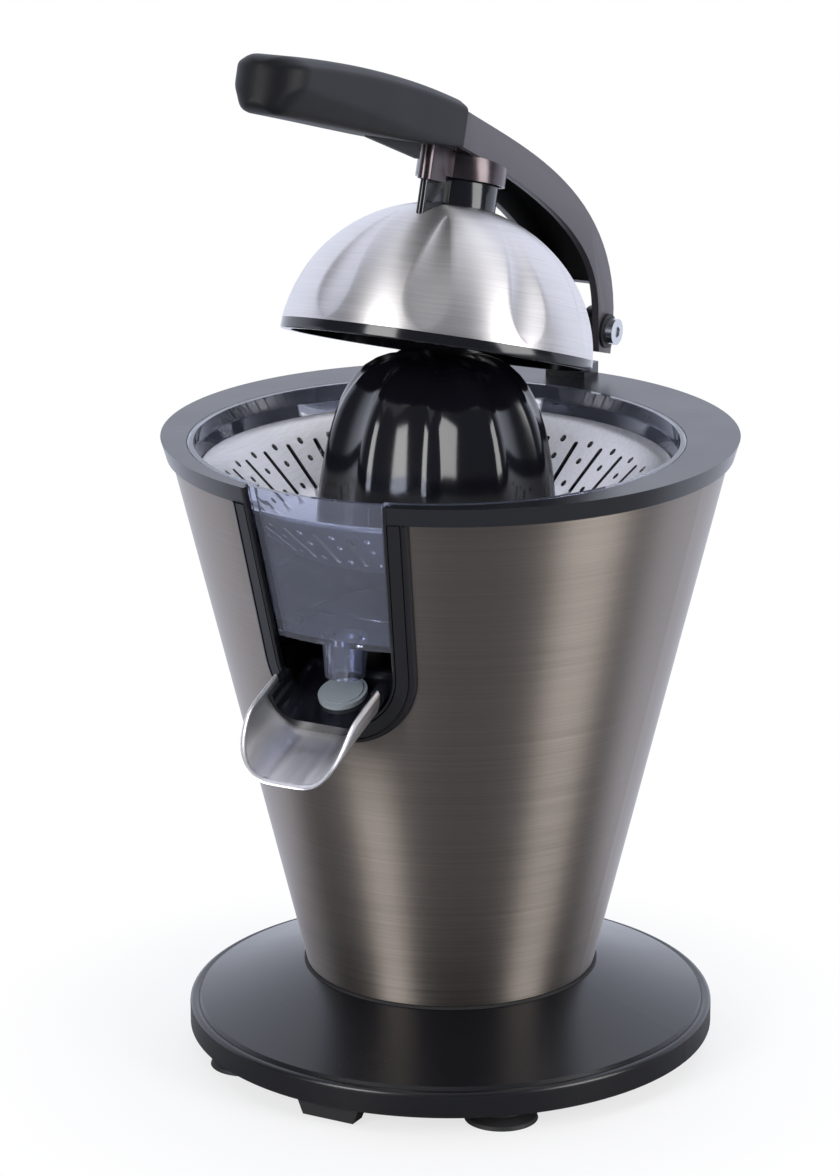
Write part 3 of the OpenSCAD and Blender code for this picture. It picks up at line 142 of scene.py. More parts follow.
class Finish:
    """A material, or the room's light, as it is put together: its nodes and their output."""

    def __init__(self, name, owner=None):
        self.material = owner or bpy.data.materials.new(name)
        self.material.use_nodes = True
        self.tree = self.material.node_tree
        self.tree.nodes.clear()
        self.end = self.tree.nodes.new(
            "ShaderNodeOutputWorld" if owner else "ShaderNodeOutputMaterial")

    def node(self, kind, settings=None, inputs=None, output=0):
        """A node of any kind, with its settings made first, and one of its outputs as a value."""
        node = self.tree.nodes.new(kind)
        for key, value in (settings or {}).items():
            setattr(node, key, value)
        for key, value in (inputs or {}).items():
            connect(self.tree, node.inputs[key], value)
        return Value(self.tree, node.outputs[output])

    def place(self):
        """Object coordinates, in metres from the part's origin."""
        return self.node("ShaderNodeTexCoord", output="Object")

    def stretched(self, scale, turn=(0.0, 0.0, 0.0)):
        """Object coordinates, turned and then stretched, for grain that runs one way."""
        turned = self.node("ShaderNodeMapping", inputs={"Vector": self.place(), "Rotation": turn})
        return self.node("ShaderNodeMapping", inputs={"Vector": turned, "Scale": scale})

    def noise(self, vector, scale, detail=2.0):
        return self.node("ShaderNodeTexNoise",
            inputs={"Vector": vector, "Scale": scale, "Detail": detail})

    def rising(self, value, low, high):
        """0 up to low, 1 from high, and a soft rise between."""
        return self.node("ShaderNodeMapRange", {"interpolation_type": "SMOOTHSTEP"},
            {"Value": value, "From Min": low, "From Max": high})

    def ray(self, kind):
        """1 for light that arrives in one way, such as straight at the camera."""
        return Value(self.tree, self.node("ShaderNodeLightPath").socket.node.outputs[kind])

    def mix(self, share, first, second):
        return self.node("ShaderNodeMix", {"data_type": "RGBA"},
            {0: share, 6: first, 7: second}, output=2)

    def bump(self, height, depth):
        return self.node("ShaderNodeBump", inputs={"Height": height, "Distance": depth})

    def shader(self, inputs):
        made = self.node("ShaderNodeBsdfPrincipled", inputs=inputs)
        connect(self.tree, self.end.inputs["Surface"], made)
        return self.material


aim = Vector((0.0, AXIS_Y, CAMERA_AIM_Z))
towards_camera = Vector((math.sin(CAMERA_AZIMUTH) * math.cos(CAMERA_ELEVATION),
    -math.cos(CAMERA_AZIMUTH) * math.cos(CAMERA_ELEVATION), math.sin(CAMERA_ELEVATION)))
camera_data = bpy.data.cameras.new("camera")
camera_data.sensor_fit = "VERTICAL"
camera_data.sensor_height = CAMERA_SENSOR
camera_data.lens = CAMERA_LENS
camera_data.shift_x = -AXIS_OFFSET_PX / FRAME_HEIGHT_PX
camera_data.clip_end = CAMERA_REACH
camera = bpy.data.objects.new("camera", camera_data)
camera.location = aim + towards_camera * CAMERA_DISTANCE
camera.rotation_euler = (-towards_camera).to_track_quat("-Z", "Y").to_euler()
bpy.context.scene.collection.objects.link(camera)
bpy.context.scene.camera = camera
bpy.context.scene.view_settings.view_transform = "Standard"

away = (-math.sin(CAMERA_AZIMUTH), math.cos(CAMERA_AZIMUTH), 0.0)
table_mesh = bpy.data.meshes.new("table")
table_mesh.from_pydata([(x * TABLE_HALF, y * TABLE_HALF, 0.0)
    for x, y in ((-1, -1), (1, -1), (1, 1), (-1, 1))], [], [(0, 1, 2, 3)])
table = bpy.data.objects.new("table", table_mesh)
bpy.context.scene.collection.objects.link(table)
matt = Finish("table_matt")
flecks = matt.noise(matt.place(), TABLE_FLECKS) * TABLE_FLECK_ROUGHNESS + TABLE_ROUGHNESS
seen = matt.ray("Is Camera Ray")
cloth = matt.node("ShaderNodeBsdfPrincipled", inputs={
    "Base Color": matt.mix(seen, TABLE_MIRRORED_COLOUR, TABLE_COLOUR), "Roughness": flecks,
    "Specular IOR Level": TABLE_SHINE})
glow = matt.node("ShaderNodeEmission", inputs={
    "Color": matt.mix(seen, ROOM_COLOUR, BACKDROP_COLOUR)})
across = matt.node("ShaderNodeVectorMath", {"operation": "LENGTH"}, {0: matt.place()}, output=1)
behind = matt.rising(matt.node("ShaderNodeVectorMath", {"operation": "DOT_PRODUCT"},
    {0: matt.place(), 1: away}, output=1), *TABLE_BEHIND)
mirrored = (matt.ray("Is Glossy Ray") + matt.ray("Is Transmission Ray") > 0.5) * behind
spread = matt.rising(across, TABLE_NEAR, TABLE_FAR)
far = seen * (TABLE_LEAST + (1.0 - TABLE_LEAST) * spread) + (1.0 - seen) * mirrored * spread
connect(matt.tree, matt.end.inputs["Surface"], matt.node("ShaderNodeMixShader",
    inputs={0: far, 1: cloth, 2: glow}))
table_mesh.materials.append(matt.material)

world = bpy.data.worlds.new("room")
bpy.context.scene.world = world
room = Finish("room", world)
facing = room.node("ShaderNodeVectorMath", {"operation": "DOT_PRODUCT"}, {
    0: room.node("ShaderNodeTexCoord"), 1: away}, output=1)
backdrop = room.rising(facing, *BACKDROP_EDGE)
camera_ray = room.ray("Is Camera Ray")
strength = ROOM_STRENGTH + (1.0 - ROOM_STRENGTH) * backdrop
connect(room.tree, room.end.inputs["Surface"], room.node("ShaderNodeBackground", inputs={
    "Color": room.mix(camera_ray, ROOM_COLOUR, BACKDROP_COLOUR),
    "Strength": camera_ray + strength * (1.0 - camera_ray)}))


def lamp(name, azimuth, elevation, width, height, power):
    """A soft rectangular lamp, some degrees round from the camera and up, facing the press."""
    data = bpy.data.lights.new(name, "AREA")
    data.shape = "RECTANGLE"
    data.size = width
    data.size_y = height
    data.energy = power
    around = CAMERA_AZIMUTH + math.radians(azimuth)
    up = math.radians(elevation)
    out = Vector((math.sin(around) * math.cos(up), -math.cos(around) * math.cos(up),
        math.sin(up)))
    holder = bpy.data.objects.new(name, data)
    holder.location = Vector((0.0, AXIS_Y, LAMP_AIM_Z)) + out * LAMP_DISTANCE
    holder.rotation_euler = (-out).to_track_quat("-Z", "Y").to_euler()
    bpy.context.scene.collection.objects.link(holder)


lamp("lamp_right", azimuth=58.0, elevation=10.0, width=0.74, height=1.2, power=19.0)
lamp("lamp_left", azimuth=-42.0, elevation=10.0, width=0.6, height=1.2, power=19.0)
lamp("lamp_top", azimuth=30.0, elevation=82.0, width=2.6, height=1.8, power=7.0)

# ---------------------------------------------------------------------------------------------
# Base. A round cover moulded in satin black plastic over a plate, on four rubber suction feet
# and a front pad, with the lead's gland at the back. Screws hold the plate from below.
# ---------------------------------------------------------------------------------------------


def screen(red, green, blue):
    """A colour as a screen shows it, 0 to 255, as the linear colour that a shader takes."""
    return tuple(((part / 255 + 0.055) / 1.055) ** 2.4 for part in (red, green, blue)) + (1.0,)


def shaded(colour, share):
    """A colour with its brightness multiplied by a share."""
    return tuple(part * share for part in colour[:3]) + (1.0,)


BASE_COLOUR = screen(17, 17, 21)
RUBBER_COLOUR = screen(27, 27, 29)
SCREW_COLOUR = screen(176, 178, 182)
PLASTIC_INDEX = 1.5
CLOUDS = 40.0
CLOUD_SHADE = 0.85
CLOUD_ROUGHNESS = 0.08
GRIT = 2400.0
TOOL_MARKS = (1500.0, 1500.0, 180.0)
TOOL_MARK_ROUGHNESS = 0.14
TARNISH = 90.0
TARNISH_SHADE = 0.78


def moulded(name, colour, roughness, grain, index=PLASTIC_INDEX):
    """Plastic with a fine moulded grain, so many metres deep, and faint clouding."""
    finish = Finish(name)
    cloud = finish.noise(finish.place(), CLOUDS, detail=3.0)
    grit = finish.noise(finish.place(), GRIT)
    return finish.shader({
        "Base Color": finish.mix(cloud, shaded(colour, CLOUD_SHADE), colour),
        "Roughness": cloud * CLOUD_ROUGHNESS + (roughness - CLOUD_ROUGHNESS / 2),
        "IOR": index, "Normal": finish.bump(grit, grain)})


def machined(name, colour, roughness):
    """Plated or turned metal with fine marks and a little tarnish."""
    finish = Finish(name)
    marks = finish.noise(finish.stretched(TOOL_MARKS), 1.0, detail=3.0)
    tarnish = finish.noise(finish.place(), TARNISH, detail=3.0)
    return finish.shader({
        "Base Color": finish.mix(tarnish, shaded(colour, TARNISH_SHADE), colour),
        "Metallic": 1.0,
        "Roughness": marks * TOOL_MARK_ROUGHNESS + (roughness - TOOL_MARK_ROUGHNESS / 2)})


def clad(names, material):
    """Gives the named solids one material."""
    for name in names:
        solid[name].data.materials.clear()
        solid[name].data.materials.append(material)


satin = moulded("base_satin", BASE_COLOUR, roughness=0.26, grain=0.00001)
rubber = moulded("foot_rubber", RUBBER_COLOUR, roughness=0.62, grain=0.00004)
zinc = machined("zinc_plate", SCREW_COLOUR, roughness=0.32)
clad(["base_cover", "base_plate"], satin)
clad(["suction_feet", "front_pad", "cord_gland", "foot_gasket"], rubber)
clad(["base_screws"], zinc)

# ---------------------------------------------------------------------------------------------
# Body. A cone rolled from bronze-tinted stainless sheet and brushed round its girth, set into a
# dark gap in the base. Inside it stand the moulded jacket, the deck and the spout's bay.
# ---------------------------------------------------------------------------------------------

BODY_COLOUR = screen(138, 130, 123)
FINE_SHARE = 0.78  # of the grain, and the rest is coarse scratches
COARSE_ALONG = 0.6  # scales of the coarse scratches, as shares of the fine lines' own
COARSE_ACROSS = 0.3
BRUSHED_SHADES = (0.7, 1.22)
BRUSHED_ROUGHNESS = 0.2
BRUSHED_CLOUDS = 14.0
BRUSHED_CLOUD_ROUGHNESS = 0.05
BRUSHED_MEAN = 0.12  # about what grain and clouds add to the roughness
QUARTER_TURN = 0.25  # draws the highlights out across the lines


def brushed(name, colour, roughness, lines, along=(9.0, 9.0), turn=(0.0, 0.0, 0.0), depth=4e-6,
        anisotropic=0.7, laid=Finish.stretched):
    """Steel brushed across its local Z: fine lines, a few deeper scratches, slow clouding."""
    finish = Finish(name)
    fine = finish.noise(laid(finish, (*along, lines), turn), 1.0, detail=3.0)
    coarse_scale = (along[0] * COARSE_ALONG, along[1] * COARSE_ALONG, lines * COARSE_ACROSS)
    coarse = finish.noise(laid(finish, coarse_scale, turn), 1.0)
    cloud = finish.noise(finish.place(), BRUSHED_CLOUDS)
    grain = fine * FINE_SHARE + coarse * (1 - FINE_SHARE)
    dark, light = (shaded(colour, share) for share in BRUSHED_SHADES)
    return finish.shader({
        "Base Color": finish.mix(grain, dark, light), "Metallic": 1.0,
        "Roughness": grain * BRUSHED_ROUGHNESS + cloud * BRUSHED_CLOUD_ROUGHNESS
            + (roughness - BRUSHED_MEAN),
        "Anisotropic": anisotropic, "Anisotropic Rotation": QUARTER_TURN,
        "Normal": finish.bump(grain, depth)})


bronze = brushed("body_bronze", BODY_COLOUR, roughness=0.42, lines=2100.0, anisotropic=0.9)
clad(["body_shell"], bronze)
clad(["bowl_jacket", "bowl_carrier", "spout_bay"], satin)

# ---------------------------------------------------------------------------------------------
# Window frame. A moulded black band round the body's window, bent to the cone and pressed on.
# A fine groove follows its outer edge, and its inner lip runs on up to the rim's top.
# ---------------------------------------------------------------------------------------------

SHELL_LOW = (0.0561, 0.033)  # the body's (radius, height) at the base, and at the rim
SHELL_HIGH = (0.106, 0.2386)
RIM_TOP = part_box("rim_ring")[1].z
WINDOW_R = 0.02395
WINDOW_Z = 0.17895
WINDOW_LEAN = math.radians(3.98)  # its sides spread upwards by this
FRAME_COLOUR = screen(19, 19, 23)
FRAME_WIDTH = 0.008
FRAME_PROUD = 0.0025
LIP_WIDTH = 0.0013
LIP_SUNK = 0.0005  # into the body's window
LIP_INNER_ROUND = ((0.0, 0.0004), (0.0002, 0.0001), (0.0005, 0.0))  # (in, down) from its edge
LIP_OUTER_ROUND = ((0.0002, 0.0), (0.0, 0.0003))
BAND_CLEAR = 0.00005  # the band lies this far off the steel and under the rim
BAND_LAP = 0.0001  # and reaches this far into the lip
BAND_STEP = (0.0003, 0.0008)  # out from the lip, down from the flat
BAND_ROUND = ((0.0011, 0.0), (0.0005, 0.00015), (0.0001, 0.0006), (0.0, 0.0011))
GROOVE_IN = 0.0018
GROOVE_HALF = 0.0004
GROOVE_FOOT_HALF = GROOVE_HALF * 0.8
GROOVE_DEPTH = 0.0006
STRAIGHT_STEPS = 24
ARC_STEPS = 48
SHARP_ANGLE = math.radians(38.0)  # faces that meet at more than this keep a sharp edge


def shell_radius(z):
    """The body's outer radius at a height."""
    share = (z - SHELL_LOW[1]) / (SHELL_HIGH[1] - SHELL_LOW[1])
    return SHELL_LOW[0] + share * (SHELL_HIGH[0] - SHELL_LOW[0])


def window_path(out, top):
    """Points (x, z) down the right side, round the bottom and up the left, out from the edge."""
    radius = WINDOW_R + out
    join_x = radius * math.cos(WINDOW_LEAN)
    join_z = WINDOW_Z - radius * math.sin(WINDOW_LEAN)
    right = []
    for i in range(STRAIGHT_STEPS):
        z = top + (join_z - top) * i / STRAIGHT_STEPS
        right.append((join_x + (z - join_z) * math.tan(WINDOW_LEAN), z))
    arc = []
    for i in range(ARC_STEPS + 1):
        a = -WINDOW_LEAN - (math.pi - 2 * WINDOW_LEAN) * i / ARC_STEPS
        arc.append((radius * math.cos(a), WINDOW_Z + radius * math.sin(a)))
    return right + arc + [(-x, z) for x, z in reversed(right)]


def swept(rows, across):
    """Faces of a bar whose points come in closed rows, so many to a row, and of its ends."""
    faces = []
    for row in range(rows - 1):
        first, second = row * across, (row + 1) * across
        for j in range(across):
            k = (j + 1) % across
            faces.append((first + j, first + k, second + k, second + j))
    return faces + [tuple(range(across)), tuple(range((rows - 1) * across, rows * across))]


def joined(first, second):
    """Two pairs of (points, faces) as one."""
    points, faces = first
    more_points, more_faces = second
    moved_faces = [tuple(i + len(points) for i in face) for face in more_faces]
    return points + more_points, faces + moved_faces


def bent_round_window(section, top):
    """Sweeps a closed section of (out, proud) points along the window, bent to the cone."""
    paths = [window_path(out, top) for out, proud in section]
    points = []
    for places in zip(*paths):
        for (x, z), (out, proud) in zip(places, section):
            radius = shell_radius(z) + proud
            points.append((x, AXIS_Y - math.sqrt(radius * radius - x * x), z))
    return points, swept(len(paths[0]), len(section))


def rounding(edge, inwards, line):
    """Section points of a rounded edge from (in, down) pairs, with inwards 1 or -1."""
    return [(edge + inwards * inset, FRAME_PROUD - drop) for inset, drop in line]


def shown(name, points, faces, material, body, slot):
    """Makes a piece that rides on a body from points in metres and their faces."""
    mesh = bpy.data.meshes.new(name)
    mesh.from_pydata([tuple(p) for p in points], [], faces)
    mesh.materials.append(material)
    piece = bpy.data.objects.new(name, mesh)
    bpy.context.scene.collection.objects.link(piece)
    finished(piece)
    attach(piece, body)
    return piece


def finished(piece):
    """Turns faces outwards and rounds the shading, up to the angle of a real edge."""
    form = bmesh.new()
    form.from_mesh(piece.data)
    bmesh.ops.recalc_face_normals(form, faces=form.faces)
    form.to_mesh(piece.data)
    form.free()
    for face in piece.data.polygons:
        face.use_smooth = True
    piece.data.set_sharp_from_angle(angle=SHARP_ANGLE)


groove_at = FRAME_WIDTH - GROOVE_IN
groove = [(groove_at - GROOVE_HALF, FRAME_PROUD),
    (groove_at - GROOVE_FOOT_HALF, FRAME_PROUD - GROOVE_DEPTH),
    (groove_at + GROOVE_FOOT_HALF, FRAME_PROUD - GROOVE_DEPTH),
    (groove_at + GROOVE_HALF, FRAME_PROUD)]
lip_section = [(0.0, -LIP_SUNK), *rounding(0.0, 1, LIP_INNER_ROUND),
    *rounding(LIP_WIDTH, -1, LIP_OUTER_ROUND), (LIP_WIDTH, -LIP_SUNK)]
band_section = [(LIP_WIDTH - BAND_LAP, BAND_CLEAR),
    (LIP_WIDTH - BAND_LAP, FRAME_PROUD - BAND_STEP[1]), (LIP_WIDTH + BAND_STEP[0], FRAME_PROUD),
    *groove, *rounding(FRAME_WIDTH, -1, BAND_ROUND), (FRAME_WIDTH, BAND_CLEAR)]
frame_black = moulded("frame_black", FRAME_COLOUR, roughness=0.3, grain=0.00001)
window_frame = shown("window_frame", *joined(bent_round_window(lip_section, RIM_TOP),
    bent_round_window(band_section, SHELL_HIGH[1] - BAND_CLEAR)), frame_black, "stand",
    "black_satin")
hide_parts("chute_frame")

# ---------------------------------------------------------------------------------------------
# Rim. A broad moulded ring that holds the bowl and carries the lever's post at the back. Its
# top is a fine satin, and screws from inside the body hold it.
# ---------------------------------------------------------------------------------------------

RIM_COLOUR = screen(26, 27, 32)
rim_satin = moulded("rim_satin", RIM_COLOUR, roughness=0.29, grain=0.00001)
clad(["rim_ring", "hinge_post"], rim_satin)
clad(["rim_screws", "post_screws"], zinc)

# ---------------------------------------------------------------------------------------------
# Bowl. Clear polycarbonate with a faint blue tint, moulded in one with its chute and nozzle,
# and dropped into the rim.
# ---------------------------------------------------------------------------------------------

BOWL_TINT = (0.76, 0.81, 1.0, 1.0)
BOWL_CLARITY = 0.935
BOWL_RIPPLES = 160.0
BOWL_ROUGHNESS = 0.005
BOWL_RIPPLE_ROUGHNESS = 0.02
clear = Finish("bowl_clear")
ripples = clear.noise(clear.place(), BOWL_RIPPLES)
clear.shader({"Base Color": BOWL_TINT, "IOR": PLASTIC_INDEX, "Transmission Weight": BOWL_CLARITY,
    "Roughness": ripples * BOWL_RIPPLE_ROUGHNESS + BOWL_ROUGHNESS})
clad(["clear_bowl"], clear.material)

# ---------------------------------------------------------------------------------------------
# Sieve. A spun stainless dish with 36 slots pressed through its slope, and between the slots
# three rings of small round holes. It lies loose in the bowl.
# ---------------------------------------------------------------------------------------------

sieve_low, sieve_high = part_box("sieve")
SIEVE_AXIS_Y = (sieve_low.y + sieve_high.y) / 2
SIEVE_HOLES = 36
SIEVE_RINGS = (  # (radius, height, hole's radius) of each ring of holes
    (0.0662, 0.2152, 0.0011), (0.0742, 0.2215, 0.0011), (0.0803, 0.2280, 0.0012))
PUNCH_HEIGHT = 0.014
PUNCH_SIDES = 14
MERGE_GAP = 2e-6  # corners nearer to each other than this are one
SIEVE_COLOUR = screen(206, 204, 203)
sieve_steel = brushed("sieve_steel", SIEVE_COLOUR, roughness=0.36, lines=900.0,
    along=(900.0, 30.0), depth=3e-6, anisotropic=0.3)


def punching_tree():
    """Geometry Nodes that punch a ring of round holes through a dish."""
    tree = bpy.data.node_groups.new("punch_ring", "GeometryNodeTree")
    sockets = tree.interface
    sockets.new_socket("Dish", in_out="INPUT", socket_type="NodeSocketGeometry")
    for name, kind in (("Holes", "NodeSocketInt"), ("Ring Radius", "NodeSocketFloat"),
            ("Ring Height", "NodeSocketFloat"), ("Axis Y", "NodeSocketFloat"),
            ("Hole Radius", "NodeSocketFloat"), ("Punch Height", "NodeSocketFloat"),
            ("Finish", "NodeSocketMaterial")):
        sockets.new_socket(name, in_out="INPUT", socket_type=kind)
    sockets.new_socket("Dish", in_out="OUTPUT", socket_type="NodeSocketGeometry")
    add = tree.nodes.new
    link = tree.links.new
    given = add("NodeGroupInput").outputs
    ring = add("GeometryNodeMeshCircle")
    link(ring.inputs["Vertices"], given["Holes"])
    link(ring.inputs["Radius"], given["Ring Radius"])
    shift = add("ShaderNodeCombineXYZ")
    link(shift.inputs["Y"], given["Axis Y"])
    link(shift.inputs["Z"], given["Ring Height"])
    placed = add("GeometryNodeTransform")
    link(placed.inputs["Geometry"], ring.outputs["Mesh"])
    link(placed.inputs["Translation"], shift.outputs[0])
    punch = add("GeometryNodeMeshCylinder")
    punch.inputs["Vertices"].default_value = PUNCH_SIDES
    link(punch.inputs["Radius"], given["Hole Radius"])
    link(punch.inputs["Depth"], given["Punch Height"])
    copies = add("GeometryNodeInstanceOnPoints")
    link(copies.inputs["Points"], placed.outputs["Geometry"])
    link(copies.inputs["Instance"], punch.outputs["Mesh"])
    real = add("GeometryNodeRealizeInstances")
    link(real.inputs["Geometry"], copies.outputs["Instances"])
    cut = add("GeometryNodeMeshBoolean")
    cut.operation = "DIFFERENCE"
    cut.solver = "MANIFOLD"
    link(cut.inputs["Mesh 1"], given["Dish"])
    link(cut.inputs["Mesh 2"], real.outputs["Geometry"])
    coat = add("GeometryNodeSetMaterial")
    link(coat.inputs["Geometry"], cut.outputs["Mesh"])
    link(coat.inputs["Material"], given["Finish"])
    link(add("NodeGroupOutput").inputs["Dish"], coat.outputs["Geometry"])
    return tree


def merged_copy(node, name, flat_angle=None):
    """A copy of a solid's mesh with its triangles joined up, and its flats made single faces
    where an angle for them is given."""
    form = bmesh.new()
    form.from_mesh(solid[node].data)
    bmesh.ops.remove_doubles(form, verts=form.verts, dist=MERGE_GAP)
    if flat_angle is not None:
        bmesh.ops.dissolve_limit(form, angle_limit=flat_angle, verts=form.verts,
            edges=form.edges)
    mesh = bpy.data.meshes.new(name)
    form.to_mesh(mesh)
    form.free()
    mesh.materials.clear()
    piece = bpy.data.objects.new(name, mesh)
    bpy.context.scene.collection.objects.link(piece)
    return piece


def settle(piece, material, sharp_angle=SHARP_ANGLE):
    """Turns a piece's modifiers into its mesh, in one material, and rounds the shading."""
    made = bpy.data.meshes.new_from_object(piece.evaluated_get(
        bpy.context.evaluated_depsgraph_get()))
    piece.modifiers.clear()
    piece.data = made
    made.materials.clear()
    made.materials.append(material)
    for face in made.polygons:
        face.material_index = 0
        face.use_smooth = True
    made.set_sharp_from_angle(angle=sharp_angle)


punch_ring = punching_tree()
sieve = merged_copy("sieve", "punched_sieve")
for radius, height, hole in SIEVE_RINGS:
    ring = sieve.modifiers.new("ring", "NODES")
    ring.node_group = punch_ring
    wanted = {"Holes": SIEVE_HOLES, "Ring Radius": radius, "Ring Height": height,
        "Axis Y": SIEVE_AXIS_Y, "Hole Radius": hole, "Punch Height": PUNCH_HEIGHT,
        "Finish": sieve_steel}
    for item in punch_ring.interface.items_tree:
        if item.in_out == "INPUT" and item.name in wanted:
            ring[item.identifier] = wanted[item.name]
settle(sieve, sieve_steel)
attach(sieve, "stand")
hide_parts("sieve")

# ---------------------------------------------------------------------------------------------
# Drive. A motor on brackets under the deck turns the cone's shaft through nylon gears. Pushing
# the cone down lowers the shaft's thrust cup on its spring and closes the microswitch.
# ---------------------------------------------------------------------------------------------

SPRING_SLACK = 0.0002  # added to a joint's travel where a spring's shortening is worked out, which nothing uses
joints = {joint["name"]: joint for joint in frame["joints"]}
iron = machined("stacked_iron", screen(112, 110, 108), roughness=0.5)
wire = machined("copper_wire", screen(196, 122, 74), roughness=0.34)
sintered = machined("sintered_bronze", screen(172, 132, 84), roughness=0.42)
nylon = moulded("gear_nylon", screen(226, 222, 208), roughness=0.42, grain=0.00001)
switch_black = moulded("switch_plastic", screen(44, 45, 48), roughness=0.45, grain=0.00002)
button_red = moulded("button_red", screen(178, 58, 40), roughness=0.4, grain=0.00001)
clad(["stator", "rotor"], iron)
clad(["windings"], wire)
clad(["pivot_bush", "shaft_bushes", "motor_bearings"], sintered)
clad(["thrust_guide", "thrust_cup", "output_gear", "idler_gear"], nylon)
clad(["microswitch", "cooling_fan"], switch_black)
clad(["switch_button"], button_red)
clad(["shaft_seal"], rubber)
clad(["gearbox_plate", "gearbox_screws", "idler_pin", "motor_brackets", "motor_screws",
    "drive_shaft", "motor_shaft"], zinc)


def sprung(node, body, joint, to_seat):
    """A copy of a coil spring, shown on a body in the solid's place. The share of its length that
    a joint's travel would take up, measured towards its seat, is worked out but not used.
    """
    coil = merged_copy(node, node + "_coil")
    settle(coil, zinc)
    low, high = joints[joint]["range_m"]
    reach = [point.co.dot(to_seat) for point in coil.data.vertices]
    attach(coil, body)
    1 - (high - low + SPRING_SLACK) / (max(reach) - min(reach))
    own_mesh(coil)
    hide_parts(node)


sprung("press_spring", "stand", "press_slide", to_seat=Vector((0.0, 0.0, -1.0)))

# ---------------------------------------------------------------------------------------------
# Squeezing cone. One glossy black moulding with ten ribs and hollow flutes between them, set on
# the drive shaft.
# ---------------------------------------------------------------------------------------------

GLOSS_COLOUR = screen(17, 17, 23)
RIB_SHARP_ANGLE = math.radians(42.0)
gloss = moulded("gloss_black", GLOSS_COLOUR, roughness=0.13, grain=0.0)
cone = merged_copy("reamer", "squeezing_cone")
settle(cone, gloss, RIB_SHARP_ANGLE)
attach(cone, "cone")
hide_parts("reamer")

# ---------------------------------------------------------------------------------------------
# Lever. A die-cast channel, painted satin grey outside and left black inside, turns on a bolt
# through the post. A cast block in its front holds the dome and the grip's tongue.
# ---------------------------------------------------------------------------------------------

PIVOT = Vector(joints["arm_hinge"]["pos_m"])
LIFT = math.radians(-joints["arm_hinge"]["range_deg"][0])  # how far it stands open at rest
ARM_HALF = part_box("arm")[1].x
ARM_WALL = 0.003
BLACK_LAP = 0.0002  # the black inside reaches this far on to the walls' edges
ARM_COLOUR = screen(72, 67, 73)
ARM_INSIDE_COLOUR = screen(12, 12, 14)
ARM_CLOUDS = 30.0
ARM_CLOUD_SHADE = 0.92
ARM_ROUGHNESS = 0.4
ARM_CLOUD_ROUGHNESS = 0.06
ARM_GRIT = 1800.0
ARM_GRIT_DEPTH = 0.00003
EASED_ANGLE = math.radians(30.0)
EASED_SEGMENTS = 3
FLAT_ANGLE = math.radians(0.6)  # faces that meet at less than this are one flat


def eased(node, material, body, radius):
    """A copy of a solid with its sharp edges rounded, shown in the solid's place."""
    piece = merged_copy(node, node + "_eased", FLAT_ANGLE)
    edge = piece.modifiers.new("edge", "BEVEL")
    edge.width = radius
    edge.segments = EASED_SEGMENTS
    edge.limit_method = "ANGLE"
    edge.angle_limit = EASED_ANGLE
    edge.use_clamp_overlap = True
    edge.miter_outer = "MITER_ARC"
    settle(piece, material)
    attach(piece, body)
    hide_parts(node)


lever_place = Matrix.Translation(PIVOT) @ Matrix.Rotation(-LIFT, 4, "X")
arm_paint = Finish("arm_paint")
from_middle = abs(arm_paint.node("ShaderNodeSeparateXYZ", inputs={"Vector": arm_paint.place()}))
inside = from_middle < ARM_HALF - ARM_WALL + BLACK_LAP
grit = arm_paint.noise(arm_paint.place(), ARM_GRIT)
cloud = arm_paint.noise(arm_paint.place(), ARM_CLOUDS)
painted = arm_paint.mix(cloud, shaded(ARM_COLOUR, ARM_CLOUD_SHADE), ARM_COLOUR)
arm_paint.shader({"Base Color": arm_paint.mix(inside, painted, ARM_INSIDE_COLOUR),
    "Roughness": cloud * ARM_CLOUD_ROUGHNESS + ARM_ROUGHNESS,
    "Normal": arm_paint.bump(grit, ARM_GRIT_DEPTH)})
eased("arm", arm_paint.material, "lever", radius=0.0007)
clad(["holder_block"], gloss)
bolt_steel = machined("bolt_steel", screen(202, 204, 208), roughness=0.24)
clad(["pivot_bolt"], bolt_steel)
clad(["pivot_washers", "support_rib"], rubber)
clad(["grip_screws", "guide_bolt", "dome_screws"], zinc)

# ---------------------------------------------------------------------------------------------
# Grip. A soft-touch charcoal moulding screwed over the lever's tongue, crowned on top, flat at
# its sides, with a long bevel underneath that widens towards its rounded tip.
# ---------------------------------------------------------------------------------------------

GRIP_START = 0.1463  # reaches and heights are from the pivot, along and above the lever
GRIP_END = 0.2796
GRIP_TOP = ((0.146, 0.0713), (0.190, 0.0740), (0.235, 0.0715), (0.280, 0.0662))
GRIP_UNDER = ((0.146, 0.0536), (0.176, 0.0495), (0.235, 0.0485), (0.280, 0.0458))
GRIP_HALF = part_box("grip")[1].x
GRIP_CROWN_HALF = 0.0085
GRIP_CROWN_DROP = 0.0034
GRIP_SHOULDER_RADIUS = 0.003
GRIP_CROWN_RADIUS = 0.009
GRIP_BEVEL_RADIUS = 0.006
GRIP_BEVEL = 0.0008  # its height at the grip's start, and what it gains to the end
GRIP_BEVEL_GROWTH = 0.0105
GRIP_BEVEL_POWER = 0.8
GRIP_BEVEL_WIDTH = 0.55  # of its height
GRIP_BEVEL_END = 0.6  # the share of the bevel that the nose takes back
GRIP_NOSE = 0.0135  # the last stretch, where the sides close in
GRIP_NOSE_LEAST = 0.0004  # the square of the least share of its width that it keeps
GRIP_TIP = 0.011  # the last stretch, where top and underside close in
GRIP_TIP_SHARE = 0.5  # how far they close in
GRIP_TIP_POWERS = (2.5, 0.4)  # how late they do, and how round the tip ends
GRIP_MIDDLE_RISE = 0.0015  # they close in on a line this far above the middle
GRIP_STATIONS = 72
GRIP_COLOUR = screen(12, 12, 17)
GRIP_INDEX = 1.32
FILLET_STEPS = 5
FILLET_SHARE = 0.49  # the most of an edge that one fillet takes
HALVINGS = 30


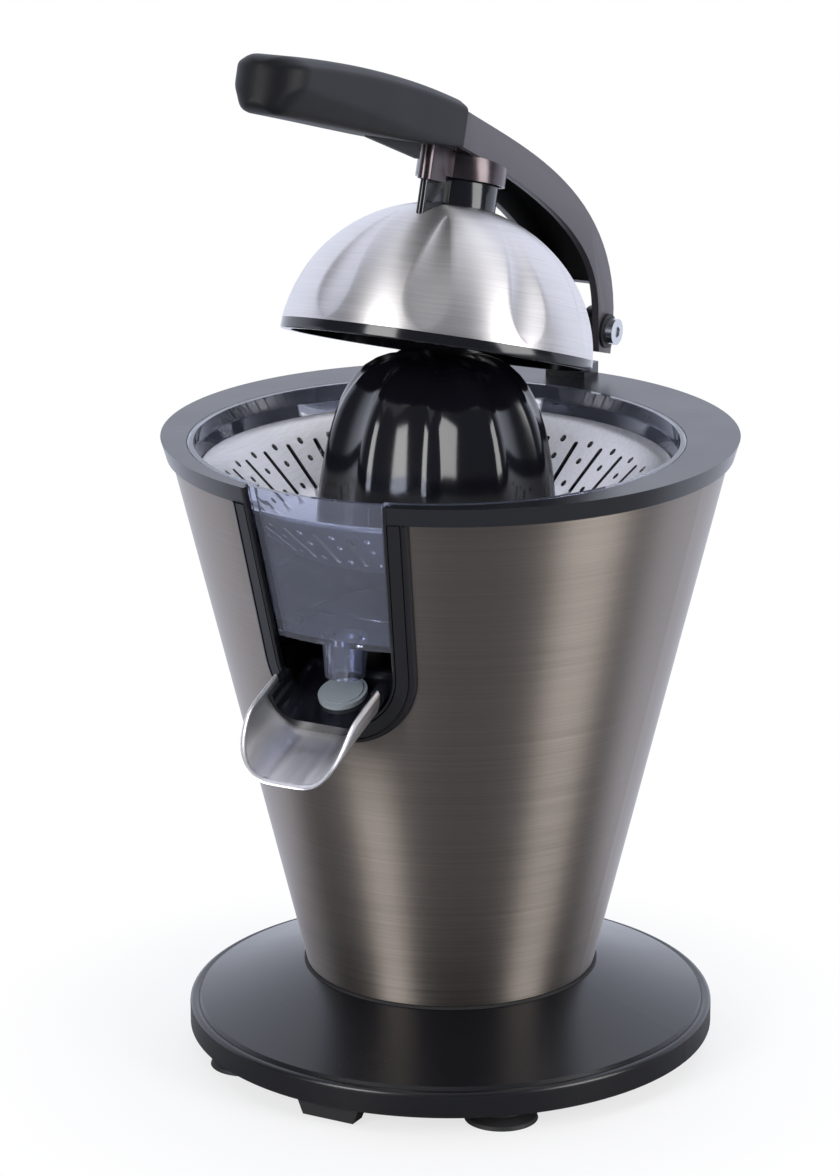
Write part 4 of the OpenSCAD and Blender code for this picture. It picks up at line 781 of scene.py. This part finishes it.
def bezier(corners, share):
    """A point of a curve with four control points, at a share of its way."""
    a, b, c, d = (Vector(p) for p in corners)
    rest = 1 - share
    return a * rest ** 3 + b * 3 * rest ** 2 * share + c * 3 * rest * share ** 2 + d * share ** 3


def height_at(corners, reach):
    """The height of a curve of (reach, height) at one reach, found by halving."""
    low, high = 0.0, 1.0
    for _ in range(HALVINGS):
        middle = (low + high) / 2
        if bezier(corners, middle).x < reach:
            low = middle
        else:
            high = middle
    return bezier(corners, (low + high) / 2).y


def filleted(corners):
    """A closed outline with each (x, z, radius) corner rounded in a fixed number of steps."""
    outline = []
    for i, (x, z, radius) in enumerate(corners):
        here = Vector((x, z))
        before = Vector(corners[i - 1][:2]) - here
        after = Vector(corners[(i + 1) % len(corners)][:2]) - here
        half_angle = before.angle(after) / 2
        reach = min(radius / math.tan(half_angle), before.length * FILLET_SHARE,
            after.length * FILLET_SHARE)
        start = here + before.normalized() * reach
        end = here + after.normalized() * reach
        for step in range(FILLET_STEPS + 1):
            t = step / FILLET_STEPS
            outline.append(start * (1 - t) ** 2 + here * 2 * t * (1 - t) + end * t ** 2)
    return outline


def grip_section(reach):
    """The grip's outline across the lever at one reach, as points in the part's frame."""
    top = height_at(GRIP_TOP, reach)
    under = height_at(GRIP_UNDER, reach)
    into_nose = max(0.0, (reach - (GRIP_END - GRIP_NOSE)) / GRIP_NOSE)
    into_tip = max(0.0, (reach - (GRIP_END - GRIP_TIP)) / GRIP_TIP)
    narrow = math.sqrt(max(GRIP_NOSE_LEAST, 1 - into_nose ** 2))
    closing, easing = GRIP_TIP_POWERS
    low = 1 - GRIP_TIP_SHARE + GRIP_TIP_SHARE * max(0.0, 1 - into_tip ** closing) ** easing
    along = (reach - GRIP_START) / (GRIP_END - GRIP_START)
    bevel = GRIP_BEVEL + GRIP_BEVEL_GROWTH * along ** GRIP_BEVEL_POWER
    bevel *= 1 - GRIP_BEVEL_END * into_nose ** 2
    inner = GRIP_HALF - bevel * GRIP_BEVEL_WIDTH
    middle = (top + under) / 2 + GRIP_MIDDLE_RISE
    outline = filleted([(-GRIP_HALF, top - GRIP_CROWN_DROP, GRIP_SHOULDER_RADIUS),
        (-GRIP_CROWN_HALF, top, GRIP_CROWN_RADIUS), (GRIP_CROWN_HALF, top, GRIP_CROWN_RADIUS),
        (GRIP_HALF, top - GRIP_CROWN_DROP, GRIP_SHOULDER_RADIUS),
        (GRIP_HALF, under + bevel, GRIP_BEVEL_RADIUS), (inner, under, GRIP_BEVEL_RADIUS),
        (-inner, under, GRIP_BEVEL_RADIUS), (-GRIP_HALF, under + bevel, GRIP_BEVEL_RADIUS)])
    return [lever_place @ Vector((p.x * narrow, -reach, middle + (p.y - middle) * low))
        for p in outline]


grip_points = []
for station in range(GRIP_STATIONS + 1):
    slowing = math.sin(station / GRIP_STATIONS * math.pi / 2)
    grip_points += grip_section(GRIP_START + (GRIP_END - GRIP_START) * slowing)
grip_faces = swept(GRIP_STATIONS + 1, len(grip_points) // (GRIP_STATIONS + 1))
soft_touch = moulded("grip_soft_touch", GRIP_COLOUR, roughness=0.52, grain=0.00003,
    index=GRIP_INDEX)
grip = shown("soft_grip", grip_points, grip_faces, soft_touch, "lever", "grip_plastic")
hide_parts("grip")

# ---------------------------------------------------------------------------------------------
# Dome holder. A brushed dark steel sleeve with a round nose hangs from the lever over the
# glossy stem, which slides in it on a spring.
# ---------------------------------------------------------------------------------------------

DOME_MOUTH = (0.0, -0.1184, -0.0206)  # from the pivot, along and above the lever
SLEEVE_COLOUR = screen(92, 84, 86)
dome_place = lever_place @ Matrix.Translation(DOME_MOUTH)
dome_up = dome_place.to_3x3() @ Vector((0.0, 0.0, 1.0))
sleeve_steel = brushed("sleeve_steel", SLEEVE_COLOUR, roughness=0.3, lines=700.0,
    turn=(LIFT, 0.0, 0.0), depth=2e-6)
eased("dome_sleeve", sleeve_steel, "lever", radius=0.0003)
eased("dome_stem", gloss, "dome", radius=0.0004)
sprung("dome_spring", "lever", "dome_float", to_seat=dome_up)

# ---------------------------------------------------------------------------------------------
# Dome. A bell pressed from thin stainless sheet with nine leaf-shaped flutes, brushed in rings
# and snapped over the moulded liner. Its mouth stands on the liner's black band.
# ---------------------------------------------------------------------------------------------

DOME_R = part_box("dome_lip")[1].x
DOME_H = 0.0555
DOME_SHEET = 0.0006
DOME_HOLE_R = 0.0097
LINER_CLEAR = 0.0001
LINER_WALL = 0.0016
BAND_HEIGHT = 0.004
BAND_SECTION = (  # (in from the dome's radius, height) round the liner's band
    (0.004, 0.0), (0.0006, 0.0), (0.0002, 0.0002), (0.0, 0.0007),
    (0.00012, BAND_HEIGHT - 0.0001), (0.0035, BAND_HEIGHT + 0.0008))
BAND_STEPS = 180
FLUTES = 9
FIRST_FLUTE = 22.0  # degrees round from the front
FLUTE_DEPTH = 0.0012
FLUTE_SKEW = 0.35  # how much deeper its left side is
FLUTE_HALVES = (  # (degrees up the dome, half the flute's width in degrees round)
    (5.0, 0.15), (6.5, 3.6), (9.0, 5.8), (12.0, 7.3), (16.0, 8.4), (21.0, 8.6), (26.0, 8.1),
    (33.0, 7.1), (40.0, 6.0), (47.0, 4.8), (53.0, 3.6), (58.0, 2.4), (61.0, 0.15))
FLUTE_DEPTHS = (  # (degrees up the dome, share of the flute's depth)
    (5.0, 0.0), (8.0, 0.22), (12.0, 0.55), (17.0, 0.87), (22.0, 1.0), (28.0, 0.95),
    (36.0, 0.75), (45.0, 0.52), (53.0, 0.3), (58.0, 0.14), (61.0, 0.0))
RISE_STEPS = 110
FLUTE_COLUMNS = 14
LAND_COLUMNS = 12
DOME_SHARP_ANGLE = math.radians(60.0)
DOME_COLOUR = screen(214, 211, 211)


def along_table(table, place):
    """The value at a place, straight between the rows of a table of (place, value)."""
    if place <= table[0][0]:
        return table[0][1]
    for (low, first), (high, second) in zip(table, table[1:]):
        if place <= high:
            share = (place - low) / (high - low)
            return first + (second - first) * share
    return table[-1][1]


def bell_turns(rise):
    """The (degrees round, place across its flute) of a bell's points at one rise, in order."""
    fluted = FLUTE_HALVES[0][0] < rise < FLUTE_HALVES[-1][0]
    half = along_table(FLUTE_HALVES, rise) if fluted else FLUTE_HALVES[0][1]
    pitch = 360.0 / FLUTES
    turns = []
    for flute in range(FLUTES):
        centre = FIRST_FLUTE + pitch * flute
        for i in range(FLUTE_COLUMNS):
            over = 2 * i / FLUTE_COLUMNS - 1
            turns.append((centre + half * over, over))
        for i in range(LAND_COLUMNS):
            turns.append((centre + half + (pitch - 2 * half) * i / LAND_COLUMNS, 1.0))
    return turns


def bell_point(rise, turn, over, inset):
    """A point of a fluted bell, some depth below the dome's outside."""
    up, around = math.radians(rise), math.radians(turn)
    surface = Vector((DOME_R * math.sin(around) * math.cos(up),
        -DOME_R * math.cos(around) * math.cos(up), DOME_H * math.sin(up)))
    out = Vector((surface.x / DOME_R ** 2, surface.y / DOME_R ** 2,
        surface.z / DOME_H ** 2)).normalized()
    deep = along_table(FLUTE_DEPTHS, rise) * FLUTE_DEPTH
    return surface - out * (inset + deep * (1 - over * over) * (1 - FLUTE_SKEW * over))


def bell(insets):
    """Points and faces of a fluted bell between two depths below the dome's outside."""
    low = math.degrees(math.asin(BAND_HEIGHT / DOME_H))
    high = math.degrees(math.acos(DOME_HOLE_R / DOME_R))
    points, faces = [], []
    for inset in insets:
        for step in range(RISE_STEPS + 1):
            rise = low + (high - low) * step / RISE_STEPS
            points += [dome_place @ bell_point(rise, turn, over, inset)
                for turn, over in bell_turns(rise)]
    columns = FLUTES * (FLUTE_COLUMNS + LAND_COLUMNS)
    inside = len(points) // 2
    for j in range(columns):
        k = (j + 1) % columns
        for step in range(RISE_STEPS):
            a, b = step * columns, (step + 1) * columns
            faces.append((a + j, a + k, b + k, b + j))
            faces.append((inside + a + j, inside + b + j, inside + b + k, inside + a + k))
        a = RISE_STEPS * columns
        faces.append((a + j, inside + a + j, inside + a + k, a + k))
        faces.append((j, inside + j, inside + k, k))
    return points, faces


def turned_ring(profile, steps, place):
    """Points and faces of a closed (radius, height) profile turned round an axis."""
    points = [place @ Vector((r * math.sin(2 * math.pi * i / steps),
        -r * math.cos(2 * math.pi * i / steps), z)) for i in range(steps) for r, z in profile]
    count = len(profile)
    faces = []
    for i in range(steps):
        first, second = i * count, (i + 1) % steps * count
        for j in range(count):
            k = (j + 1) % count
            faces.append((first + j, second + j, second + k, first + k))
    return points, faces


def in_rings(finish, scale, turn):
    """Coordinates for grain in rings round the dome's axis: two for the turn, one for the rise."""
    local = finish.node("ShaderNodeMapping", {"vector_type": "TEXTURE"}, {
        "Vector": finish.place(), "Location": dome_place.translation, "Rotation": turn})
    x, y, z = (finish.node("ShaderNodeSeparateXYZ", inputs={"Vector": local}, output=axis)
        for axis in range(3))
    radius = Value.maths("SQRT", x * x + y * y)
    rise = Value.maths("ARCTAN2", z, radius)
    return finish.node("ShaderNodeCombineXYZ", inputs={"X": x / radius * scale[0],
        "Y": y / radius * scale[1], "Z": rise * scale[2]})


dome_steel = brushed("dome_steel", DOME_COLOUR, roughness=0.45, lines=130.0, along=(1.2, 1.2),
    turn=(-LIFT, 0.0, 0.0), depth=3e-6, anisotropic=0.75, laid=in_rings)
dome = shown("fluted_dome", *bell((0.0, DOME_SHEET)), dome_steel, "dome", "bright_steel")
dome.data.set_sharp_from_angle(angle=DOME_SHARP_ANGLE)
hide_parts("dome_shell")
liner_outside = DOME_SHEET + LINER_CLEAR
band = turned_ring([(DOME_R - inset, height) for inset, height in BAND_SECTION], BAND_STEPS,
    dome_place)
liner = shown("dome_lining", *joined(bell((liner_outside, liner_outside + LINER_WALL)), band),
    gloss, "dome", "black_gloss")
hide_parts("dome_liner", "dome_lip")

# ---------------------------------------------------------------------------------------------
# Spout. A tongue of polished stainless sheet with a rolled lip, on a black carrier that tips it
# up on its pin. The carrier's silicone disc closes the nozzle when the spout is up.
# ---------------------------------------------------------------------------------------------

SPOUT_TILT = math.radians(joints["spout_hinge"]["range_deg"][1])  # it hangs by this at rest
SPOUT_OUT = 0.0964  # from the body's axis to the tongue's inner end
SPOUT_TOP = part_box("spout_shell")[1].z
SPOUT_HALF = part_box("spout_shell")[1].x
SPOUT_DEPTH = 0.016
SPOUT_CORNER = 0.0158
SPOUT_SHEET = 0.0012
SPOUT_TOP_LENGTH = 0.021
SPOUT_LEAN = 0.018  # how much longer the floor is than the sides' top edges
SPOUT_LEAN_POWER = 1.15
SPOUT_COLOUR = screen(238, 236, 238)
BEAD_HALF = 0.0019  # half its width along the sheet
BEAD_RISE = 0.0008  # half its thickness
BEAD_OUT = 0.0002  # how far its middle stands outside the sheet's
BEAD_LEAN = 1.2  # turns it a little more down than straight out from the trough's middle
BEAD_STEPS = 12
LIP_SIDE_STEPS = 10
LIP_END_STEPS = 60
LIP_SMOOTHINGS = 6
SECTION_STEPS = 48
LENGTH_STEPS = 20


def trough_point(share, inset):
    """A point (x, z) of the trough's section, from its left top edge round to its right."""
    radius = SPOUT_CORNER - inset
    flat_half = SPOUT_HALF - SPOUT_CORNER
    arc = radius * math.pi / 2
    total = 2 * arc + 2 * flat_half
    run = share * total
    if run < arc:
        a = math.pi + run / radius
        return Vector((-flat_half + radius * math.cos(a), SPOUT_CORNER - SPOUT_DEPTH
            + radius * math.sin(a)))
    if run <= arc + 2 * flat_half:
        return Vector((-flat_half + run - arc, inset - SPOUT_DEPTH))
    a = 1.5 * math.pi + (run - arc - 2 * flat_half) / radius
    return Vector((flat_half + radius * math.cos(a), SPOUT_CORNER - SPOUT_DEPTH
        + radius * math.sin(a)))


def tongue_length(z):
    """How far the tongue reaches at a height below its top edges."""
    depth = min(1.0, max(0.0, -z / SPOUT_DEPTH))
    return SPOUT_TOP_LENGTH + SPOUT_LEAN * math.sin(depth * math.pi / 2) ** SPOUT_LEAN_POWER


def tongue_sheet():
    """Points and faces of the trough, outside first and then its inner side."""
    points, faces = [], []
    for inset in (0.0, SPOUT_SHEET):
        for i in range(SECTION_STEPS + 1):
            p = trough_point(i / SECTION_STEPS, inset)
            for j in range(LENGTH_STEPS + 1):
                points.append(Vector((p.x, -tongue_length(p.y) * j / LENGTH_STEPS, p.y)))
    row = LENGTH_STEPS + 1
    inner = (SECTION_STEPS + 1) * row
    for i in range(SECTION_STEPS):
        for j in range(LENGTH_STEPS):
            a = i * row + j
            faces.append((a, a + row, a + row + 1, a + 1))
            faces.append((inner + a, inner + a + 1, inner + a + row + 1, inner + a + row))
        for a in (i * row, i * row + LENGTH_STEPS):
            faces.append((a, inner + a, inner + a + row, a + row))
    for a in (0, SECTION_STEPS * row):
        for j in range(LENGTH_STEPS):
            faces.append((a + j, a + j + 1, inner + a + j + 1, inner + a + j))
    return points, faces


def lip_line():
    """The middle of the lip's bead: out along one side, round the end and back, smoothed."""
    first, last = trough_point(0.0, SPOUT_SHEET / 2), trough_point(1.0, SPOUT_SHEET / 2)
    line = []
    for j in range(LIP_SIDE_STEPS):
        line.append(Vector((first.x, -SPOUT_TOP_LENGTH * j / LIP_SIDE_STEPS, first.y)))
    for i in range(LIP_END_STEPS + 1):
        p = trough_point(i / LIP_END_STEPS, SPOUT_SHEET / 2)
        line.append(Vector((p.x, -tongue_length(p.y), p.y)))
    for j in reversed(range(LIP_SIDE_STEPS)):
        line.append(Vector((last.x, -SPOUT_TOP_LENGTH * j / LIP_SIDE_STEPS, last.y)))
    for _ in range(LIP_SMOOTHINGS):
        inner = [(a + b * 2 + c) / 4 for a, b, c in zip(line, line[1:], line[2:])]
        line = [line[0], *inner, line[-1]]
    return line


def lip_bead(line):
    """Points and faces of a flat round bead along the lip."""
    points = []
    for i, p in enumerate(line):
        ahead = (line[min(i + 1, len(line) - 1)] - line[max(i - 1, 0)]).normalized()
        out = Vector((p.x, 0.0, p.z * BEAD_LEAN)).normalized()
        out = (out - ahead * out.dot(ahead)).normalized()
        away = ahead.cross(out).normalized()
        for k in range(BEAD_STEPS):
            a = 2 * math.pi * k / BEAD_STEPS
            points.append(p + away * (BEAD_HALF * math.cos(a))
                + out * (BEAD_RISE * math.sin(a) + BEAD_OUT))
    return points, swept(len(line), BEAD_STEPS)


spout_end = Matrix.Translation((0.0, AXIS_Y - SPOUT_OUT, SPOUT_TOP))
spout_place = spout_end @ Matrix.Rotation(SPOUT_TILT, 4, "X")
spout_points, spout_faces = joined(tongue_sheet(), lip_bead(lip_line()))
spout_steel = brushed("spout_steel", SPOUT_COLOUR, roughness=0.37, lines=28.0,
    along=(280.0, 7.0), anisotropic=0.4)
spout = shown("spout_tongue", [spout_place @ p for p in spout_points], spout_faces, spout_steel,
    "spout", "bright_steel")
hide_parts("spout_shell")
clad(["spout_carrier"], gloss)
clad(["spout_pin"], zinc)
silicone = moulded("valve_silicone", screen(150, 158, 164), roughness=0.4, grain=0.00001)
clad(["valve_disc"], silicone)
